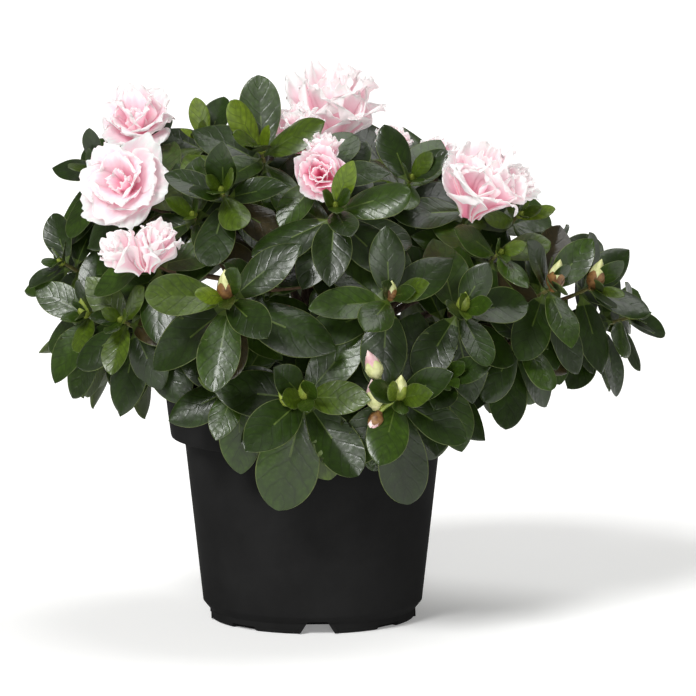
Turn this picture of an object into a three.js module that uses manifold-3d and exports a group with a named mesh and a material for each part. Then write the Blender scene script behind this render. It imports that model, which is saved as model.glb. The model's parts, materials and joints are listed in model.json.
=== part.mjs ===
// A pot-grown azalea: a black nursery pot, its root ball, a short trunk, the boughs that leave it,
// and the masses of foliage they carry, with ruffled blooms and plump buds fused to their twigs.
// Millimetres, +Z up, -Y is the front. The origin is the centre of the pot's flat underside.
import * as THREE from "three";
import { mergeVertices } from "three/addons/utils/BufferGeometryUtils.js";
import Module from "manifold-3d";

const wasm = await Module();
wasm.setup();
const { Manifold, Mesh: ManifoldMesh } = wasm;

// ---------------------------------------------------------------- driving dimensions
const SEED = 41;
const GAP = 0.3; // air left between pieces that touch
const FINEST = 0.04; // detail smaller than this is smoothed out of a solid
const DEGREE = Math.PI / 180;
const UP = new THREE.Vector3(0, 0, 1);

const POT = {
  height: 93.5,
  rimRadius: 60,
  lipHeight: 1.6,
  collarTop: 58.7, // outer radius just under the lip
  collarFoot: 56.4,
  collarHeight: 20.5, // from the rim down to the step
  bodyTop: 51,
  bodyFoot: 43.7,
  chamferTop: 7.1,
  chamferFoot: 4,
  baseRadius: 41.2,
  wall: 1,
  floor: 1.2,
  sides: 40,
};

const CHANNEL = {
  count: 4,
  turn: 3, // degrees that the foot pattern is turned from the front
  height: 5.1,
  topWidth: 7.5,
  footWidth: 14,
  innerEnd: 20, // radius where the channel starts
  frameWidth: 19, // the flat recess round its mouth
  frameHeight: 4.7,
  frameDepth: 0.5,
  drainRadius: 3,
  drainAt: 28,
};
const FOOT_RECESS = { width: 12, height: 1.8, depth: 4 };

const SOIL = { top: 86.5, flatRadius: 14, edgeDrop: 1.5, sides: 32 };

const TRUNK = {
  flareRadius: 8.6,
  radius: 6.2,
  forkRadius: 5.4,
  height: 24,
  lean: new THREE.Vector2(1.2, -0.8),
  sides: 10,
};

const BOUGH = {
  rootRadius: 1.7,
  tipRadius: 1.3,
  steps: 5,
  sides: 5,
  reachShare: 0.56, // of the way from the trunk to the middle of its shoots
  lift: 0.16,
  room: 1, // wished for between two boughs
  tiers: [
    { masses: 8, leaves: 0.2 },
    { masses: 6, leaves: 0.46 },
    { masses: 4, leaves: 0.72 },
  ],
};
const STEM = { length: 5, radius: 1.5, sides: 5 };
const TWIG = { rootRadius: 1.15, tipRadius: 0.85, straight: 12, steps: 3, sides: 3 };

const LEAF = {
  halfWidth: 0.25, // as a share of the length
  thickness: 0.7,
  youngest: 0.55, // length of the innermost leaf as a share of the outermost
  spacing: 1.25, // along the twig, from leaf to leaf
  goldenAngle: 137.508,
  openFrom: 36, // degrees from the twig's line, innermost leaf
  openTo: 98, // outermost leaf
  // The turns, and changes of its opening, that a leaf tries in order until it touches nothing.
  turns: [
    [0, 0],
    [16, -6],
    [-16, -6],
    [32, 8],
    [-32, 8],
    [0, -24],
  ],
};
const BLOOM = {
  petals: 5,
  thickness: 0.9,
  reach: 0.58, // from the heart to a petal's tip, as a share of the bloom's width
  notch: 0.8, // the same to the notch between two petals
  whorls: [
    { open: 62, size: 1, lift: -1.4 },
    { open: 30, size: 0.88, lift: 0.4 },
  ],
};
const BUD = { length: 12, radius: 3.4 };

// What a shoot ends in: how many leaves it bears, and how upright they stand.
const KINDS = {
  leafy: { leaves: 8, upright: 0 },
  young: { leaves: 7, upright: 16 },
  bud: { leaves: 8, upright: 0 },
  bloom: { leaves: 5, upright: 0 },
};

// The shoots of each mass: bearing in degrees from +X (so -90 is the front), reach from the pot's axis,
// height above the ground, kind, the length of its longest leaf or, for a bloom, its width, and the
// turn of that leaf round the shoot (0 points right, 90 up).
const MASSES = {
  left_low: [
    [-168, 91, 124, "bud", 33, 190],
    [180, 99, 142, "leafy", 29, 150],
    [-146, 89, 126, "leafy", 29, 305],
  ],
  left_high: [
    [176, 68, 197, "bloom", 28, 125],
    [-153, 79, 177, "bloom", 39, 225],
    [180, 85, 179, "leafy", 32, 215],
  ],
  left_front: [
    [-136, 89, 154, "bloom", 29, 200],
    [-111, 90, 140, "bud", 44, 212],
    [-134, 66, 167, "leafy", 34, 340],
  ],
  top_left: [
    [-117, 43, 191, "young", 37, 165],
    [177, 43, 191, "young", 26, 175],
    [-120, 69, 178, "leafy", 33, 335],
  ],
  top_middle: [
    [63, 11, 196, "bloom", 44, 205],
    [-99, 20, 193, "bloom", 27, 80],
    [-86, 55, 185, "bloom", 27, 85],
  ],
  middle_front: [
    [-70, 89, 140, "bud", 37, 125],
    [-83, 75, 174, "leafy", 38, 180],
    [-106, 69, 145, "leafy", 28, 80],
  ],
  top_right: [
    [4, 31, 188, "bloom", 27, 55],
    [25, 55, 180, "bloom", 24, 85],
    [-31, 78, 175, "bloom", 36, 275],
    [-38, 49, 179, "leafy", 33, 140],
  ],
  right_middle: [
    [-32, 86, 152, "leafy", 33, 180],
    [-49, 89, 133, "bud", 34, 315],
    [7, 98, 144, "leafy", 33, 35],
    [-12, 83, 163, "young", 26, 20],
  ],
  right_low: [
    [-24, 103, 138, "bud", 37, 300],
    [-2, 111, 133, "bud", 37, 355],
    [7, 128, 118, "leafy", 27, 10],
    [-28, 95, 119, "leafy", 32, 310],
  ],
  low_left: [
    [-92, 82, 101, "bud", 43, 255],
    [-115, 71, 103, "leafy", 34, 288],
    [-83, 60, 120, "leafy", 30, 255],
  ],
  low_right: [
    [-68, 90, 101, "bud", 40, 280],
    [-52, 84, 107, "leafy", 34, 265],
  ],
};

// The masses behind, which a rule lays out in two tiers round the back.
const BACK = {
  low: { from: 28, to: 152, count: 4, reach: 90, height: 128 },
  high: { from: 52, to: 134, count: 3, reach: 66, height: 162 },
  spread: 32, // from a mass's middle to each of its shoots
  shoots: 3,
  leafLength: 34,
};

// The point that the shoots grow away from. It lies behind the axis for those in front, which turn
// their faces to the light there.
const PIVOT = { front: new THREE.Vector3(0, 100, 112), back: new THREE.Vector3(0, 0, 112) };
const SHOOT_LIFT = 0.3;

// ---------------------------------------------------------------- numbers and points
/** An even number from 0 to 1 that depends only on the keys. */
function chance(...keys) {
  let hash = SEED;
  for (const key of keys) {
    hash = Math.imul(hash ^ (key + 1), 0x9e3779b1) >>> 0;
    hash = (hash ^ (hash >>> 15)) >>> 0;
    hash = Math.imul(hash, 0x85ebca6b) >>> 0;
    hash = (hash ^ (hash >>> 13)) >>> 0;
  }
  return hash / 2 ** 32;
}

const between = (low, high, share) => low + (high - low) * share;

function polar(bearing, reach, height) {
  return new THREE.Vector3(
    reach * Math.cos(bearing * DEGREE),
    reach * Math.sin(bearing * DEGREE),
    height,
  );
}

/** point + direction * distance, as a new vector. */
const along = (point, direction, distance) => point.clone().addScaledVector(direction, distance);

/** A unit vector square to the direction, always the same one for the same direction. */
function squareTo(direction) {
  const helper = Math.abs(direction.z) < 0.9 ? UP : new THREE.Vector3(1, 0, 0);
  return new THREE.Vector3().crossVectors(helper, direction).normalize();
}

// ---------------------------------------------------------------- solids
/** A closed three.js geometry as a manifold-3d solid. */
function solid(geometry) {
  const bare = new THREE.BufferGeometry().setAttribute("position", geometry.getAttribute("position"));
  bare.setIndex(geometry.index);
  const merged = mergeVertices(bare, 1e-4);
  const corners = Array.from(merged.index.array);
  const triVerts = [];
  for (let i = 0; i < corners.length; i += 3) {
    const [a, b, c] = corners.slice(i, i + 3);
    if (a !== b && b !== c && c !== a) triVerts.push(a, b, c);
  }
  return new Manifold(
    new ManifoldMesh({
      numProp: 3,
      vertProperties: merged.attributes.position.array,
      triVerts: new Uint32Array(triVerts),
    }),
  );
}

/** A named three.js mesh from a manifold-3d solid. A scrap that joins nothing is dropped. */
function piece(name, shape, material) {
  const [largest] = shape.asOriginal().simplify(FINEST).decompose().sort((a, b) => b.volume() - a.volume());
  const { numProp, numVert, vertProperties, triVerts } = largest.getMesh();
  const positions = new Float32Array(numVert * 3);
  for (let i = 0; i < numVert; i++) {
    positions.set(vertProperties.subarray(i * numProp, i * numProp + 3), i * 3);
  }
  const geometry = new THREE.BufferGeometry()
    .setAttribute("position", new THREE.BufferAttribute(positions, 3))
    .setIndex(new THREE.BufferAttribute(triVerts, 1));
  geometry.computeVertexNormals();
  const mesh = new THREE.Mesh(geometry, material);
  mesh.name = name;
  return mesh;
}

/** Moves every vertex of a geometry to place(vertex). */
function bent(geometry, place) {
  const position = geometry.getAttribute("position");
  const vertex = new THREE.Vector3();
  for (let i = 0; i < position.count; i++) {
    const moved = place(vertex.fromBufferAttribute(position, i));
    position.setXYZ(i, moved.x, moved.y, moved.z);
  }
  return geometry;
}

/** A turned solid about the Z axis, from a profile of [radius, height] that ends on the axis. */
function turned(profile, sides) {
  const points = profile.map(([radius, height]) => new THREE.Vector2(radius, height));
  return solid(new THREE.LatheGeometry(points, sides).rotateX(Math.PI / 2));
}

/** A tapering limb through the points, with a radius at each of them. */
function limb(points, radii, sides) {
  const steps = points.length - 1;
  const tangents = points.map((point, i) =>
    points[Math.min(i + 1, steps)].clone().sub(points[Math.max(i - 1, 0)]).normalize(),
  );
  const across = [squareTo(tangents[0])];
  for (let i = 1; i <= steps; i++) {
    const carried = across[i - 1].clone();
    across.push(carried.addScaledVector(tangents[i], -carried.dot(tangents[i])).normalize());
  }
  const tube = new THREE.CylinderGeometry(1, 1, 1, sides, steps);
  return solid(
    bent(tube, (vertex) => {
      const ring = Math.round((vertex.y + 0.5) * steps);
      const upward = new THREE.Vector3().crossVectors(tangents[ring], across[ring]);
      return along(points[ring], across[ring], vertex.z * radii[ring]).addScaledVector(
        upward,
        vertex.x * radii[ring],
      );
    }),
  );
}

// ---------------------------------------------------------------- blades: leaves and petals
/** Half the width at a share of the length, as a share of the widest: a wedge foot and a round tip. */
function outline(share) {
  return (share ** 0.9 * Math.sqrt(1 - share)) / 0.4015;
}

/** A point of a blade. share runs from foot to tip, side from -1 to 1, face is -1 below and 1 above. */
function bladePoint(blade, share, side, face) {
  const halfWidth = blade.halfWidth * outline(share);
  const sunk = blade.curl * blade.length * share * share + blade.fold * halfWidth * side * side;
  return along(blade.foot, blade.line, blade.length * share)
    .addScaledVector(blade.across, side * halfWidth)
    .addScaledVector(blade.normal, (face * blade.thickness) / 2 - sunk);
}

/** A blade as a six-sided lens of twelve faces. */
function bladeSolid(blade) {
  const lens = new THREE.SphereGeometry(1, 6, 2);
  const tipRow = Math.cos(Math.PI / 6);
  return solid(
    bent(lens, ({ x, y, z }) => {
      if (Math.abs(y) > 0.5) return bladePoint(blade, 0.5, 0, Math.sign(y));
      return bladePoint(blade, (x + 1) / 2, THREE.MathUtils.clamp(z / tipRow, -1, 1), 0);
    }),
  );
}

/** The blade's middle surface as six triangles, which the tests for touching use. */
function bladeTriangles(blade) {
  const rim = [
    [0, 0],
    [0.25, 1],
    [0.75, 1],
    [1, 0],
    [0.75, -1],
    [0.25, -1],
  ].map(([share, side]) => bladePoint(blade, share, side, 0));
  const middle = bladePoint(blade, 0.5, 0, 0);
  return rim.map((corner, i) => [middle, corner, rim[(i + 1) % rim.length]]);
}

/** A blade on a shoot: turned round the shoot's axis, opened away from it, and drooping a little. */
function bladeOn(shoot, { back, turn, open, length, halfWidth, thickness, curl, fold, droop, level }) {
  const around = along(
    shoot.across.clone().multiplyScalar(Math.cos(turn * DEGREE)),
    shoot.upward,
    Math.sin(turn * DEGREE),
  );
  const cosine = Math.cos(open * DEGREE);
  const sine = Math.sin(open * DEGREE);
  const line = shoot.axis.clone().multiplyScalar(cosine).addScaledVector(around, sine);
  line.addScaledVector(UP, -droop).normalize();
  const normal = shoot.axis.clone().multiplyScalar(sine).addScaledVector(around, -cosine);
  normal.addScaledVector(UP, level);
  normal.addScaledVector(line, -normal.dot(line)).normalize();
  return {
    foot: along(shoot.tip, shoot.axis, -back),
    line,
    normal,
    across: new THREE.Vector3().crossVectors(line, normal),
    length,
    halfWidth: halfWidth * length,
    thickness,
    curl,
    fold,
  };
}

// ---------------------------------------------------------------- room between solids
/** A lower bound of the distance between two triangles, from the widest gap along any likely axis. */
function distance(one, other) {
  let widest = -Infinity;
  const axis = new THREE.Vector3();
  const edgesOf = (t) => [0, 1, 2].map((i) => t[(i + 1) % 3].clone().sub(t[i]));
  const [edgesA, edgesB] = [edgesOf(one), edgesOf(other)];
  const faceA = new THREE.Vector3().crossVectors(edgesA[0], edgesA[1]);
  const faceB = new THREE.Vector3().crossVectors(edgesB[0], edgesB[1]);
  const test = () => {
    const size = axis.length();
    if (size < 1e-6) return;
    const [a, b] = [one, other].map((t) => t.map((point) => point.dot(axis) / size));
    widest = Math.max(widest, Math.min(...a) - Math.max(...b), Math.min(...b) - Math.max(...a));
  };
  for (const face of [faceA, faceB]) {
    axis.copy(face);
    test();
  }
  for (const a of edgesA) {
    axis.crossVectors(faceA, a);
    test();
    for (const b of edgesB) {
      axis.crossVectors(a, b);
      test();
    }
  }
  for (const b of edgesB) {
    axis.crossVectors(faceB, b);
    test();
  }
  const middle = (t) => t[0].clone().add(t[1]).add(t[2]).divideScalar(3);
  axis.copy(middle(one)).sub(middle(other));
  test();
  return widest;
}

/** What already stands in the way: padded triangles, each with the shoot that it belongs to. */
const occupied = [];

function occupy(triangles, pad, owner) {
  for (const triangle of triangles) {
    occupied.push({ triangle, pad, owner, box: new THREE.Box3().setFromPoints(triangle) });
  }
}

/** A limb's centre line as thin triangles. */
function lineTriangles(points) {
  return points.slice(1).map((point, i) => [points[i], point, point]);
}

function isClear(triangles, pad, owner) {
  const reach = new THREE.Box3();
  return triangles.every((triangle) => {
    reach.setFromPoints(triangle).expandByScalar(pad + GAP);
    return occupied.every(
      (other) =>
        other.owner === owner ||
        !reach.intersectsBox(other.box.clone().expandByScalar(other.pad)) ||
        distance(triangle, other.triangle) > pad + other.pad + GAP,
    );
  });
}

// ---------------------------------------------------------------- pot and root ball
const step = POT.height - POT.collarHeight;
const potOutside = [
  [0, 0],
  [POT.baseRadius - 0.6, 0],
  [POT.baseRadius, POT.chamferFoot],
  [POT.bodyFoot, POT.chamferTop],
  [POT.bodyTop, step],
  [POT.collarFoot, step],
  [POT.collarTop, POT.height - POT.lipHeight],
  [POT.rimRadius, POT.height - POT.lipHeight],
  [POT.rimRadius, POT.height],
];
const potInside = [
  [POT.collarTop - POT.wall, POT.height],
  [POT.collarFoot - POT.wall, step + POT.wall],
  [POT.bodyTop - POT.wall, step - POT.wall / 2],
  [POT.bodyFoot - POT.wall, POT.chamferTop],
  [POT.baseRadius - POT.wall, POT.chamferFoot],
  [POT.baseRadius - POT.wall, POT.floor],
  [0, POT.floor],
];

/** An upright bar with a trapezoid section, lying outwards along +X from one radius to another. */
function bar(footWidth, topWidth, bottom, top, from, to) {
  const section = new THREE.Shape([
    new THREE.Vector2(-footWidth / 2, bottom),
    new THREE.Vector2(footWidth / 2, bottom),
    new THREE.Vector2(topWidth / 2, top),
    new THREE.Vector2(-topWidth / 2, top),
  ]);
  const lying = new THREE.ExtrudeGeometry(section, { depth: to - from, bevelEnabled: false });
  return solid(lying.rotateX(Math.PI / 2).rotateZ(Math.PI / 2).translate(from, 0, 0));
}

/** A shape repeated round the axis, starting a given turn from the front. */
function roundFoot(shape, turn) {
  return Array.from({ length: CHANNEL.count }, (_, i) =>
    shape.rotate([0, 0, -90 + turn + (i * 360) / CHANNEL.count]),
  );
}

function channelHousing(grown) {
  const wall = POT.floor + grown;
  const mouth = POT.baseRadius - POT.wall / 2;
  return bar(
    CHANNEL.footWidth + 2 * wall,
    CHANNEL.topWidth + 2 * wall,
    POT.floor / 2,
    CHANNEL.height + wall,
    CHANNEL.innerEnd - wall,
    mouth,
  );
}

function makePot() {
  const beyond = POT.baseRadius + 5;
  const below = -1;
  const slope = (CHANNEL.footWidth - CHANNEL.topWidth) / CHANNEL.height;
  const channel = bar(
    CHANNEL.footWidth - below * slope,
    CHANNEL.topWidth,
    below,
    CHANNEL.height,
    CHANNEL.innerEnd,
    beyond,
  );
  const frame = bar(
    CHANNEL.frameWidth,
    CHANNEL.frameWidth,
    below,
    CHANNEL.frameHeight,
    POT.baseRadius - CHANNEL.frameDepth,
    beyond,
  );
  const recess = bar(
    FOOT_RECESS.width,
    FOOT_RECESS.width,
    below,
    FOOT_RECESS.height,
    POT.baseRadius - FOOT_RECESS.depth,
    beyond,
  );
  const drain = solid(
    new THREE.CylinderGeometry(CHANNEL.drainRadius, CHANNEL.drainRadius, 4, 10)
      .rotateX(Math.PI / 2)
      .translate(CHANNEL.drainAt, 0, CHANNEL.height),
  );
  return Manifold.union([
    turned([...potOutside, ...potInside], POT.sides),
    ...roundFoot(channelHousing(0), CHANNEL.turn),
  ]).subtract(
    Manifold.union([
      ...roundFoot(channel, CHANNEL.turn),
      ...roundFoot(frame, CHANNEL.turn),
      ...roundFoot(drain, CHANNEL.turn),
      ...roundFoot(recess, CHANNEL.turn + 45),
    ]),
  );
}

function makeRootBall() {
  const inset = (radius, height) => [radius - GAP / Math.cos(Math.PI / SOIL.sides) - 0.2, height];
  const wallAt = (height) =>
    between(
      POT.collarFoot,
      POT.collarTop,
      (height - step) / (POT.collarHeight - POT.lipHeight),
    ) - POT.wall;
  const edge = SOIL.top - SOIL.edgeDrop;
  return turned(
    [
      [0, POT.floor + GAP],
      inset(POT.baseRadius - POT.wall, POT.floor + GAP),
      inset(POT.baseRadius - POT.wall, POT.chamferFoot),
      inset(POT.bodyFoot - POT.wall, POT.chamferTop + GAP),
      inset(POT.bodyTop - POT.wall, step - POT.wall / 2 + GAP),
      inset(POT.collarFoot - POT.wall - 0.4, step + POT.wall + 2 * GAP),
      inset(wallAt(edge), edge),
      [SOIL.flatRadius, SOIL.top],
      [0, SOIL.top],
    ],
    SOIL.sides,
  ).subtract(Manifold.union(roundFoot(channelHousing(GAP), CHANNEL.turn)));
}

// ---------------------------------------------------------------- trunk and boughs
const trunkFoot = new THREE.Vector3(0, 0, SOIL.top + GAP);

/** The trunk's centre at a share of its height: it leans a little more as it rises. */
function trunkAt(share) {
  return new THREE.Vector3(
    TRUNK.lean.x * share * share,
    TRUNK.lean.y * share * share,
    trunkFoot.z + TRUNK.height * share,
  );
}

const TRUNK_PROFILE = [
  [0, TRUNK.flareRadius],
  [0.12, between(TRUNK.radius, TRUNK.flareRadius, 0.4)],
  [0.35, TRUNK.radius],
  [0.85, TRUNK.forkRadius],
  [1, TRUNK.forkRadius * 0.6],
];

function makeTrunk(grown) {
  const points = TRUNK_PROFILE.map(([share]) => trunkAt(share));
  points.at(-1).z += grown;
  return limb(points, TRUNK_PROFILE.map(([, radius]) => radius + grown), TRUNK.sides);
}

function middleOf(shoots) {
  const sum = new THREE.Vector3();
  for (const shoot of shoots) sum.add(shoot.tip);
  return sum.divideScalar(shoots.length);
}

/** A bough from a share of the trunk's height to the middle of its shoots. It sets out a turn to one side. */
function planBough(shoots, share, turn) {
  const middle = middleOf(shoots);
  const from = trunkAt(share);
  const tip = from.clone().lerp(middle, BOUGH.reachShare);
  tip.z += BOUGH.lift * from.distanceTo(middle) * (1 - share);
  const outward = tip.clone().sub(from).setZ(0).normalize();
  const rise = Math.max(0.35, (tip.z - from.z) / from.distanceTo(tip));
  const start = outward.clone().applyAxisAngle(UP, turn * DEGREE).addScaledVector(UP, rise).normalize();
  const length = from.distanceTo(tip);
  const curve = new THREE.CubicBezierCurve3(
    from,
    along(from, start, length * 0.35),
    along(tip, middle.clone().sub(tip).normalize(), -length * 0.3),
    tip,
  );
  return { curve, direction: curve.getTangent(1), points: curve.getPoints(BOUGH.steps) };
}

const boughRadii = Array.from({ length: BOUGH.steps + 1 }, (_, i) =>
  between(BOUGH.rootRadius, BOUGH.tipRadius, i / BOUGH.steps),
);

// ---------------------------------------------------------------- shoots
let shootCount = 0;

function makeShoot(pivot, [bearing, reach, height, kind, size, turn]) {
  const tip = polar(bearing, reach, height);
  const axis = tip.clone().sub(pivot).normalize();
  axis.addScaledVector(UP, SHOOT_LIFT).normalize();
  const across = squareTo(axis);
  const upward = new THREE.Vector3().crossVectors(axis, across);
  return { id: shootCount++, tip, axis, across, upward, kind, size, turn };
}

/** The three back shoots of a mass stand in a ring round its middle. */
function backMass(tier, index) {
  const bearing = between(tier.from, tier.to, index / (tier.count - 1));
  const middle = polar(bearing, tier.reach, tier.height);
  const outward = polar(bearing, 1, 0);
  const sideways = polar(bearing + 90, 1, 0);
  return Array.from({ length: BACK.shoots }, (_, i) => {
    const turn = (chance(tier.height, index) + i / BACK.shoots) * 2 * Math.PI;
    const place = along(middle, sideways, BACK.spread * 0.75 * Math.cos(turn));
    place.addScaledVector(UP, BACK.spread * 0.6 * Math.sin(turn));
    place.addScaledVector(outward, -BACK.spread * 0.35 * Math.sin(turn));
    const size = BACK.leafLength * between(0.85, 1.12, chance(tier.height, index, i));
    const kind = i === 0 ? "bud" : "leafy";
    return [
      Math.atan2(place.y, place.x) / DEGREE,
      Math.hypot(place.x, place.y),
      place.z,
      kind,
      size,
      360 * chance(tier.height, index, i, 1),
    ];
  });
}

/** A shoot's twig: a bend from the mass's hub, and a straight end that bears the leaves. */
function twigPoints(hub, direction, shoot) {
  const straightFrom = along(shoot.tip, shoot.axis, -TWIG.straight);
  const length = hub.distanceTo(straightFrom);
  const bend = new THREE.CubicBezierCurve3(
    hub,
    along(hub, direction, length * 0.3),
    along(straightFrom, shoot.axis, -length * 0.3),
    straightFrom,
  );
  return [...bend.getPoints(TWIG.steps), shoot.tip];
}

// ---------------------------------------------------------------- blooms, buds and leaves
/** A point of a whorl of petals, which stands open like a ruffled bowl. */
function whorlPoint(shoot, whorl, turn, share, face) {
  const lobe = Math.min(1, 1.5 * Math.abs(Math.sin((turn / 2) * BLOOM.petals)));
  const spin = turn + 2 * Math.PI * chance(shoot.id, 50, whorl.open);
  const reach = shoot.size * BLOOM.reach * whorl.size * share * between(BLOOM.notch, 1, lobe);
  const open = (whorl.open + 9 * Math.cos(turn * 2 + whorl.open)) * DEGREE;
  const radial = along(
    shoot.across.clone().multiplyScalar(Math.cos(spin)),
    shoot.upward,
    Math.sin(spin),
  );
  return along(shoot.tip, shoot.axis, whorl.lift + reach * Math.cos(open) + (face * BLOOM.thickness) / 2)
    .addScaledVector(radial, reach * Math.sin(open));
}

/** A whorl as a thin cone with a lobed rim, three points to a lobe. */
function whorlSolid(shoot, whorl) {
  const cone = new THREE.SphereGeometry(1, BLOOM.petals * 3, 2);
  return solid(
    bent(cone, ({ x, y, z }) => {
      const face = Math.round(y);
      return whorlPoint(shoot, whorl, Math.atan2(x, z), 1 - Math.abs(face), face);
    }),
  );
}

/** The whorl's middle surface, for the tests for touching. */
function whorlTriangles(shoot, whorl) {
  const count = BLOOM.petals * 3;
  const heart = whorlPoint(shoot, whorl, 0, 0, 0);
  const rim = Array.from({ length: count }, (_, i) =>
    whorlPoint(shoot, whorl, (i * 2 * Math.PI) / count, 1, 0),
  );
  return rim.map((corner, i) => [heart, corner, rim[(i + 1) % count]]);
}

/** An egg on the shoot's tip: a bud, or the heart of a bloom. */
function egg(shoot, length, radius) {
  const ball = new THREE.SphereGeometry(1, 6, 4);
  return solid(
    bent(ball, ({ x, y, z }) =>
      along(shoot.tip, shoot.axis, (y * 0.5 + 0.38) * length)
        .addScaledVector(shoot.across, z * radius)
        .addScaledVector(shoot.upward, x * radius),
    ),
  );
}

/** A shoot's leaves, outermost first. One that touches anything is turned, and left out if it still does. */
function growLeaves(shoot) {
  const { leaves, upright } = KINDS[shoot.kind];
  const longest = shoot.kind === "bloom" ? 30 : shoot.size;
  const grown = [];
  for (let i = 0; i < leaves; i++) {
    const age = 1 - i / (leaves - 1);
    const nominal = {
      back: 1.2 + LEAF.spacing * (leaves - 1 - i),
      turn: shoot.turn + LEAF.goldenAngle * i,
      open: between(LEAF.openFrom, LEAF.openTo, age ** 0.7) - upright,
      length: longest * between(LEAF.youngest, 1, age ** 0.6) * between(0.88, 1.06, chance(shoot.id, 2, i)),
      halfWidth: LEAF.halfWidth * between(0.92, 1.15, chance(shoot.id, 3, i)),
      thickness: LEAF.thickness,
      curl: between(0.02, 0.2, chance(shoot.id, 4, i)),
      fold: between(-0.3, 0.25, chance(shoot.id, 5, i)),
      droop: between(0.02, 0.25, chance(shoot.id, 6, i)) * age,
      level: 0.3,
    };
    for (const [turned, opened] of LEAF.turns) {
      const blade = bladeOn(shoot, { ...nominal, turn: nominal.turn + turned, open: nominal.open + opened });
      const triangles = bladeTriangles(blade);
      if (isClear(triangles, LEAF.thickness / 2, shoot.id)) {
        occupy(triangles, LEAF.thickness / 2, shoot.id);
        grown.push(blade);
        break;
      }
    }
  }
  return grown;
}

// ---------------------------------------------------------------- the plant
const masses = Object.entries(MASSES).map(([name, rows]) => ({
  name,
  shoots: rows.map((row) => makeShoot(PIVOT.front, row)),
}));
for (const [tierName, tier] of Object.entries({ low: BACK.low, high: BACK.high })) {
  for (let i = 0; i < tier.count; i++) {
    const shoots = backMass(tier, i).map((row) => makeShoot(PIVOT.back, row));
    masses.push({ name: `back_${tierName}_${i + 1}`, shoots });
  }
}

/** The stretch of a centre line that lies outside the trunk. */
function outsideTrunk(points) {
  const forkHeight = trunkAt(0.85).z;
  const outside = points.filter((p) => Math.hypot(p.x, p.y) > TRUNK.forkRadius - 0.5 || p.z > forkHeight);
  return lineTriangles(outside);
}

/** How far a line stays from what is there, both counted with their thickness. */
function clearance(triangles, pad) {
  const gaps = triangles.flatMap((triangle) =>
    occupied.map((other) => distance(triangle, other.triangle) - pad - other.pad),
  );
  return Math.min(BOUGH.room, ...gaps);
}

/** Of a few heights and turns, the bough that passes clear of those already there with the least turn. */
function clearBough(shoots, share) {
  const tries = [0, 25, -25, 50, -50, 75, -75].flatMap((turn) =>
    [0, 0.09, -0.09, 0.16, -0.16].map((offset) => {
      const bough = planBough(shoots, share + offset, turn);
      const room = clearance(outsideTrunk(bough.curve.getPoints(24)), BOUGH.rootRadius);
      return { bough, score: room - Math.abs(turn) / 200 - Math.abs(offset) };
    }),
  );
  return tries.reduce((best, one) => (one.score > best.score ? one : best)).bough;
}

const waiting = [...masses].sort((a, b) => middleOf(a.shoots).z - middleOf(b.shoots).z);
for (const tier of BOUGH.tiers) {
  for (const mass of waiting.splice(0, tier.masses)) {
    mass.bough = clearBough(mass.shoots, tier.leaves);
    occupy(outsideTrunk(mass.bough.curve.getPoints(40)), BOUGH.rootRadius, "bough");
  }
}

/** The pot's outside as panels, so that no leaf grows into it. */
function potPanels() {
  const panels = [];
  const bands = [
    [POT.rimRadius, POT.height, POT.rimRadius, POT.height - POT.lipHeight],
    [POT.collarTop, POT.height - POT.lipHeight, POT.collarFoot, step],
    [POT.bodyTop, step, POT.bodyFoot, POT.chamferTop],
  ];
  const count = POT.sides / 2;
  for (const [topRadius, top, footRadius, foot] of bands) {
    for (let i = 0; i < count; i++) {
      const [a, b] = [i, i + 1].map((n) => (n * 360) / count);
      const corners = [
        polar(a, topRadius, top),
        polar(b, topRadius, top),
        polar(b, footRadius, foot),
        polar(a, footRadius, foot),
      ];
      panels.push([corners[0], corners[1], corners[2]], [corners[0], corners[2], corners[3]]);
    }
  }
  return panels;
}

occupy(potPanels(), 0.8, "pot");
occupy(lineTriangles([trunkAt(0), trunkAt(1)]), TRUNK.radius, "trunk");
for (const mass of masses) {
  mass.hub = along(mass.bough.points.at(-1), mass.bough.direction, GAP + STEM.length);
  for (const shoot of mass.shoots) {
    shoot.twig = twigPoints(mass.hub, mass.bough.direction, shoot);
    occupy(lineTriangles(shoot.twig), TWIG.rootRadius, shoot.id);
    if (shoot.kind === "bud") {
      const budLine = [shoot.tip, along(shoot.tip, shoot.axis, BUD.length * 0.8)];
      occupy(lineTriangles(budLine), BUD.radius, shoot.id);
    }
    shoot.whorls = shoot.kind === "bloom" ? BLOOM.whorls : [];
    for (const whorl of shoot.whorls) occupy(whorlTriangles(shoot, whorl), BLOOM.thickness / 2, shoot.id);
  }
}
for (const mass of masses) for (const shoot of mass.shoots) shoot.leaves = growLeaves(shoot);

const twigRadii = Array.from({ length: TWIG.steps + 2 }, (_, i) =>
  between(TWIG.rootRadius, TWIG.tipRadius, i / (TWIG.steps + 1)),
);

/** Everything that one shoot bears, with its twig. */
function shootSolids(shoot) {
  const solids = [limb(shoot.twig, twigRadii, TWIG.sides)];
  if (shoot.kind === "bud") solids.push(egg(shoot, BUD.length, BUD.radius));
  if (shoot.kind === "bloom") solids.push(egg(shoot, shoot.size * 0.4, shoot.size * 0.13));
  solids.push(...shoot.whorls.map((whorl) => whorlSolid(shoot, whorl)));
  solids.push(...shoot.leaves.map(bladeSolid));
  return solids;
}

function makeMass(mass) {
  const root = along(mass.bough.points.at(-1), mass.bough.direction, GAP);
  const stem = limb([root, along(mass.hub, mass.bough.direction, 1)], [STEM.radius, STEM.radius], STEM.sides);
  return Manifold.union([stem, ...mass.shoots.flatMap(shootSolids)]);
}

// ---------------------------------------------------------------- materials and assembly
const material = (color, roughness) => new THREE.MeshStandardMaterial({ color, roughness, metalness: 0 });
const MATERIALS = {
  pot: material("#141516", 0.45),
  soil: material("#2a1c14", 0.95),
  bark: material("#4a3a2c", 0.85),
  foliage: material("#2c3f2a", 0.4),
};

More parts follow.
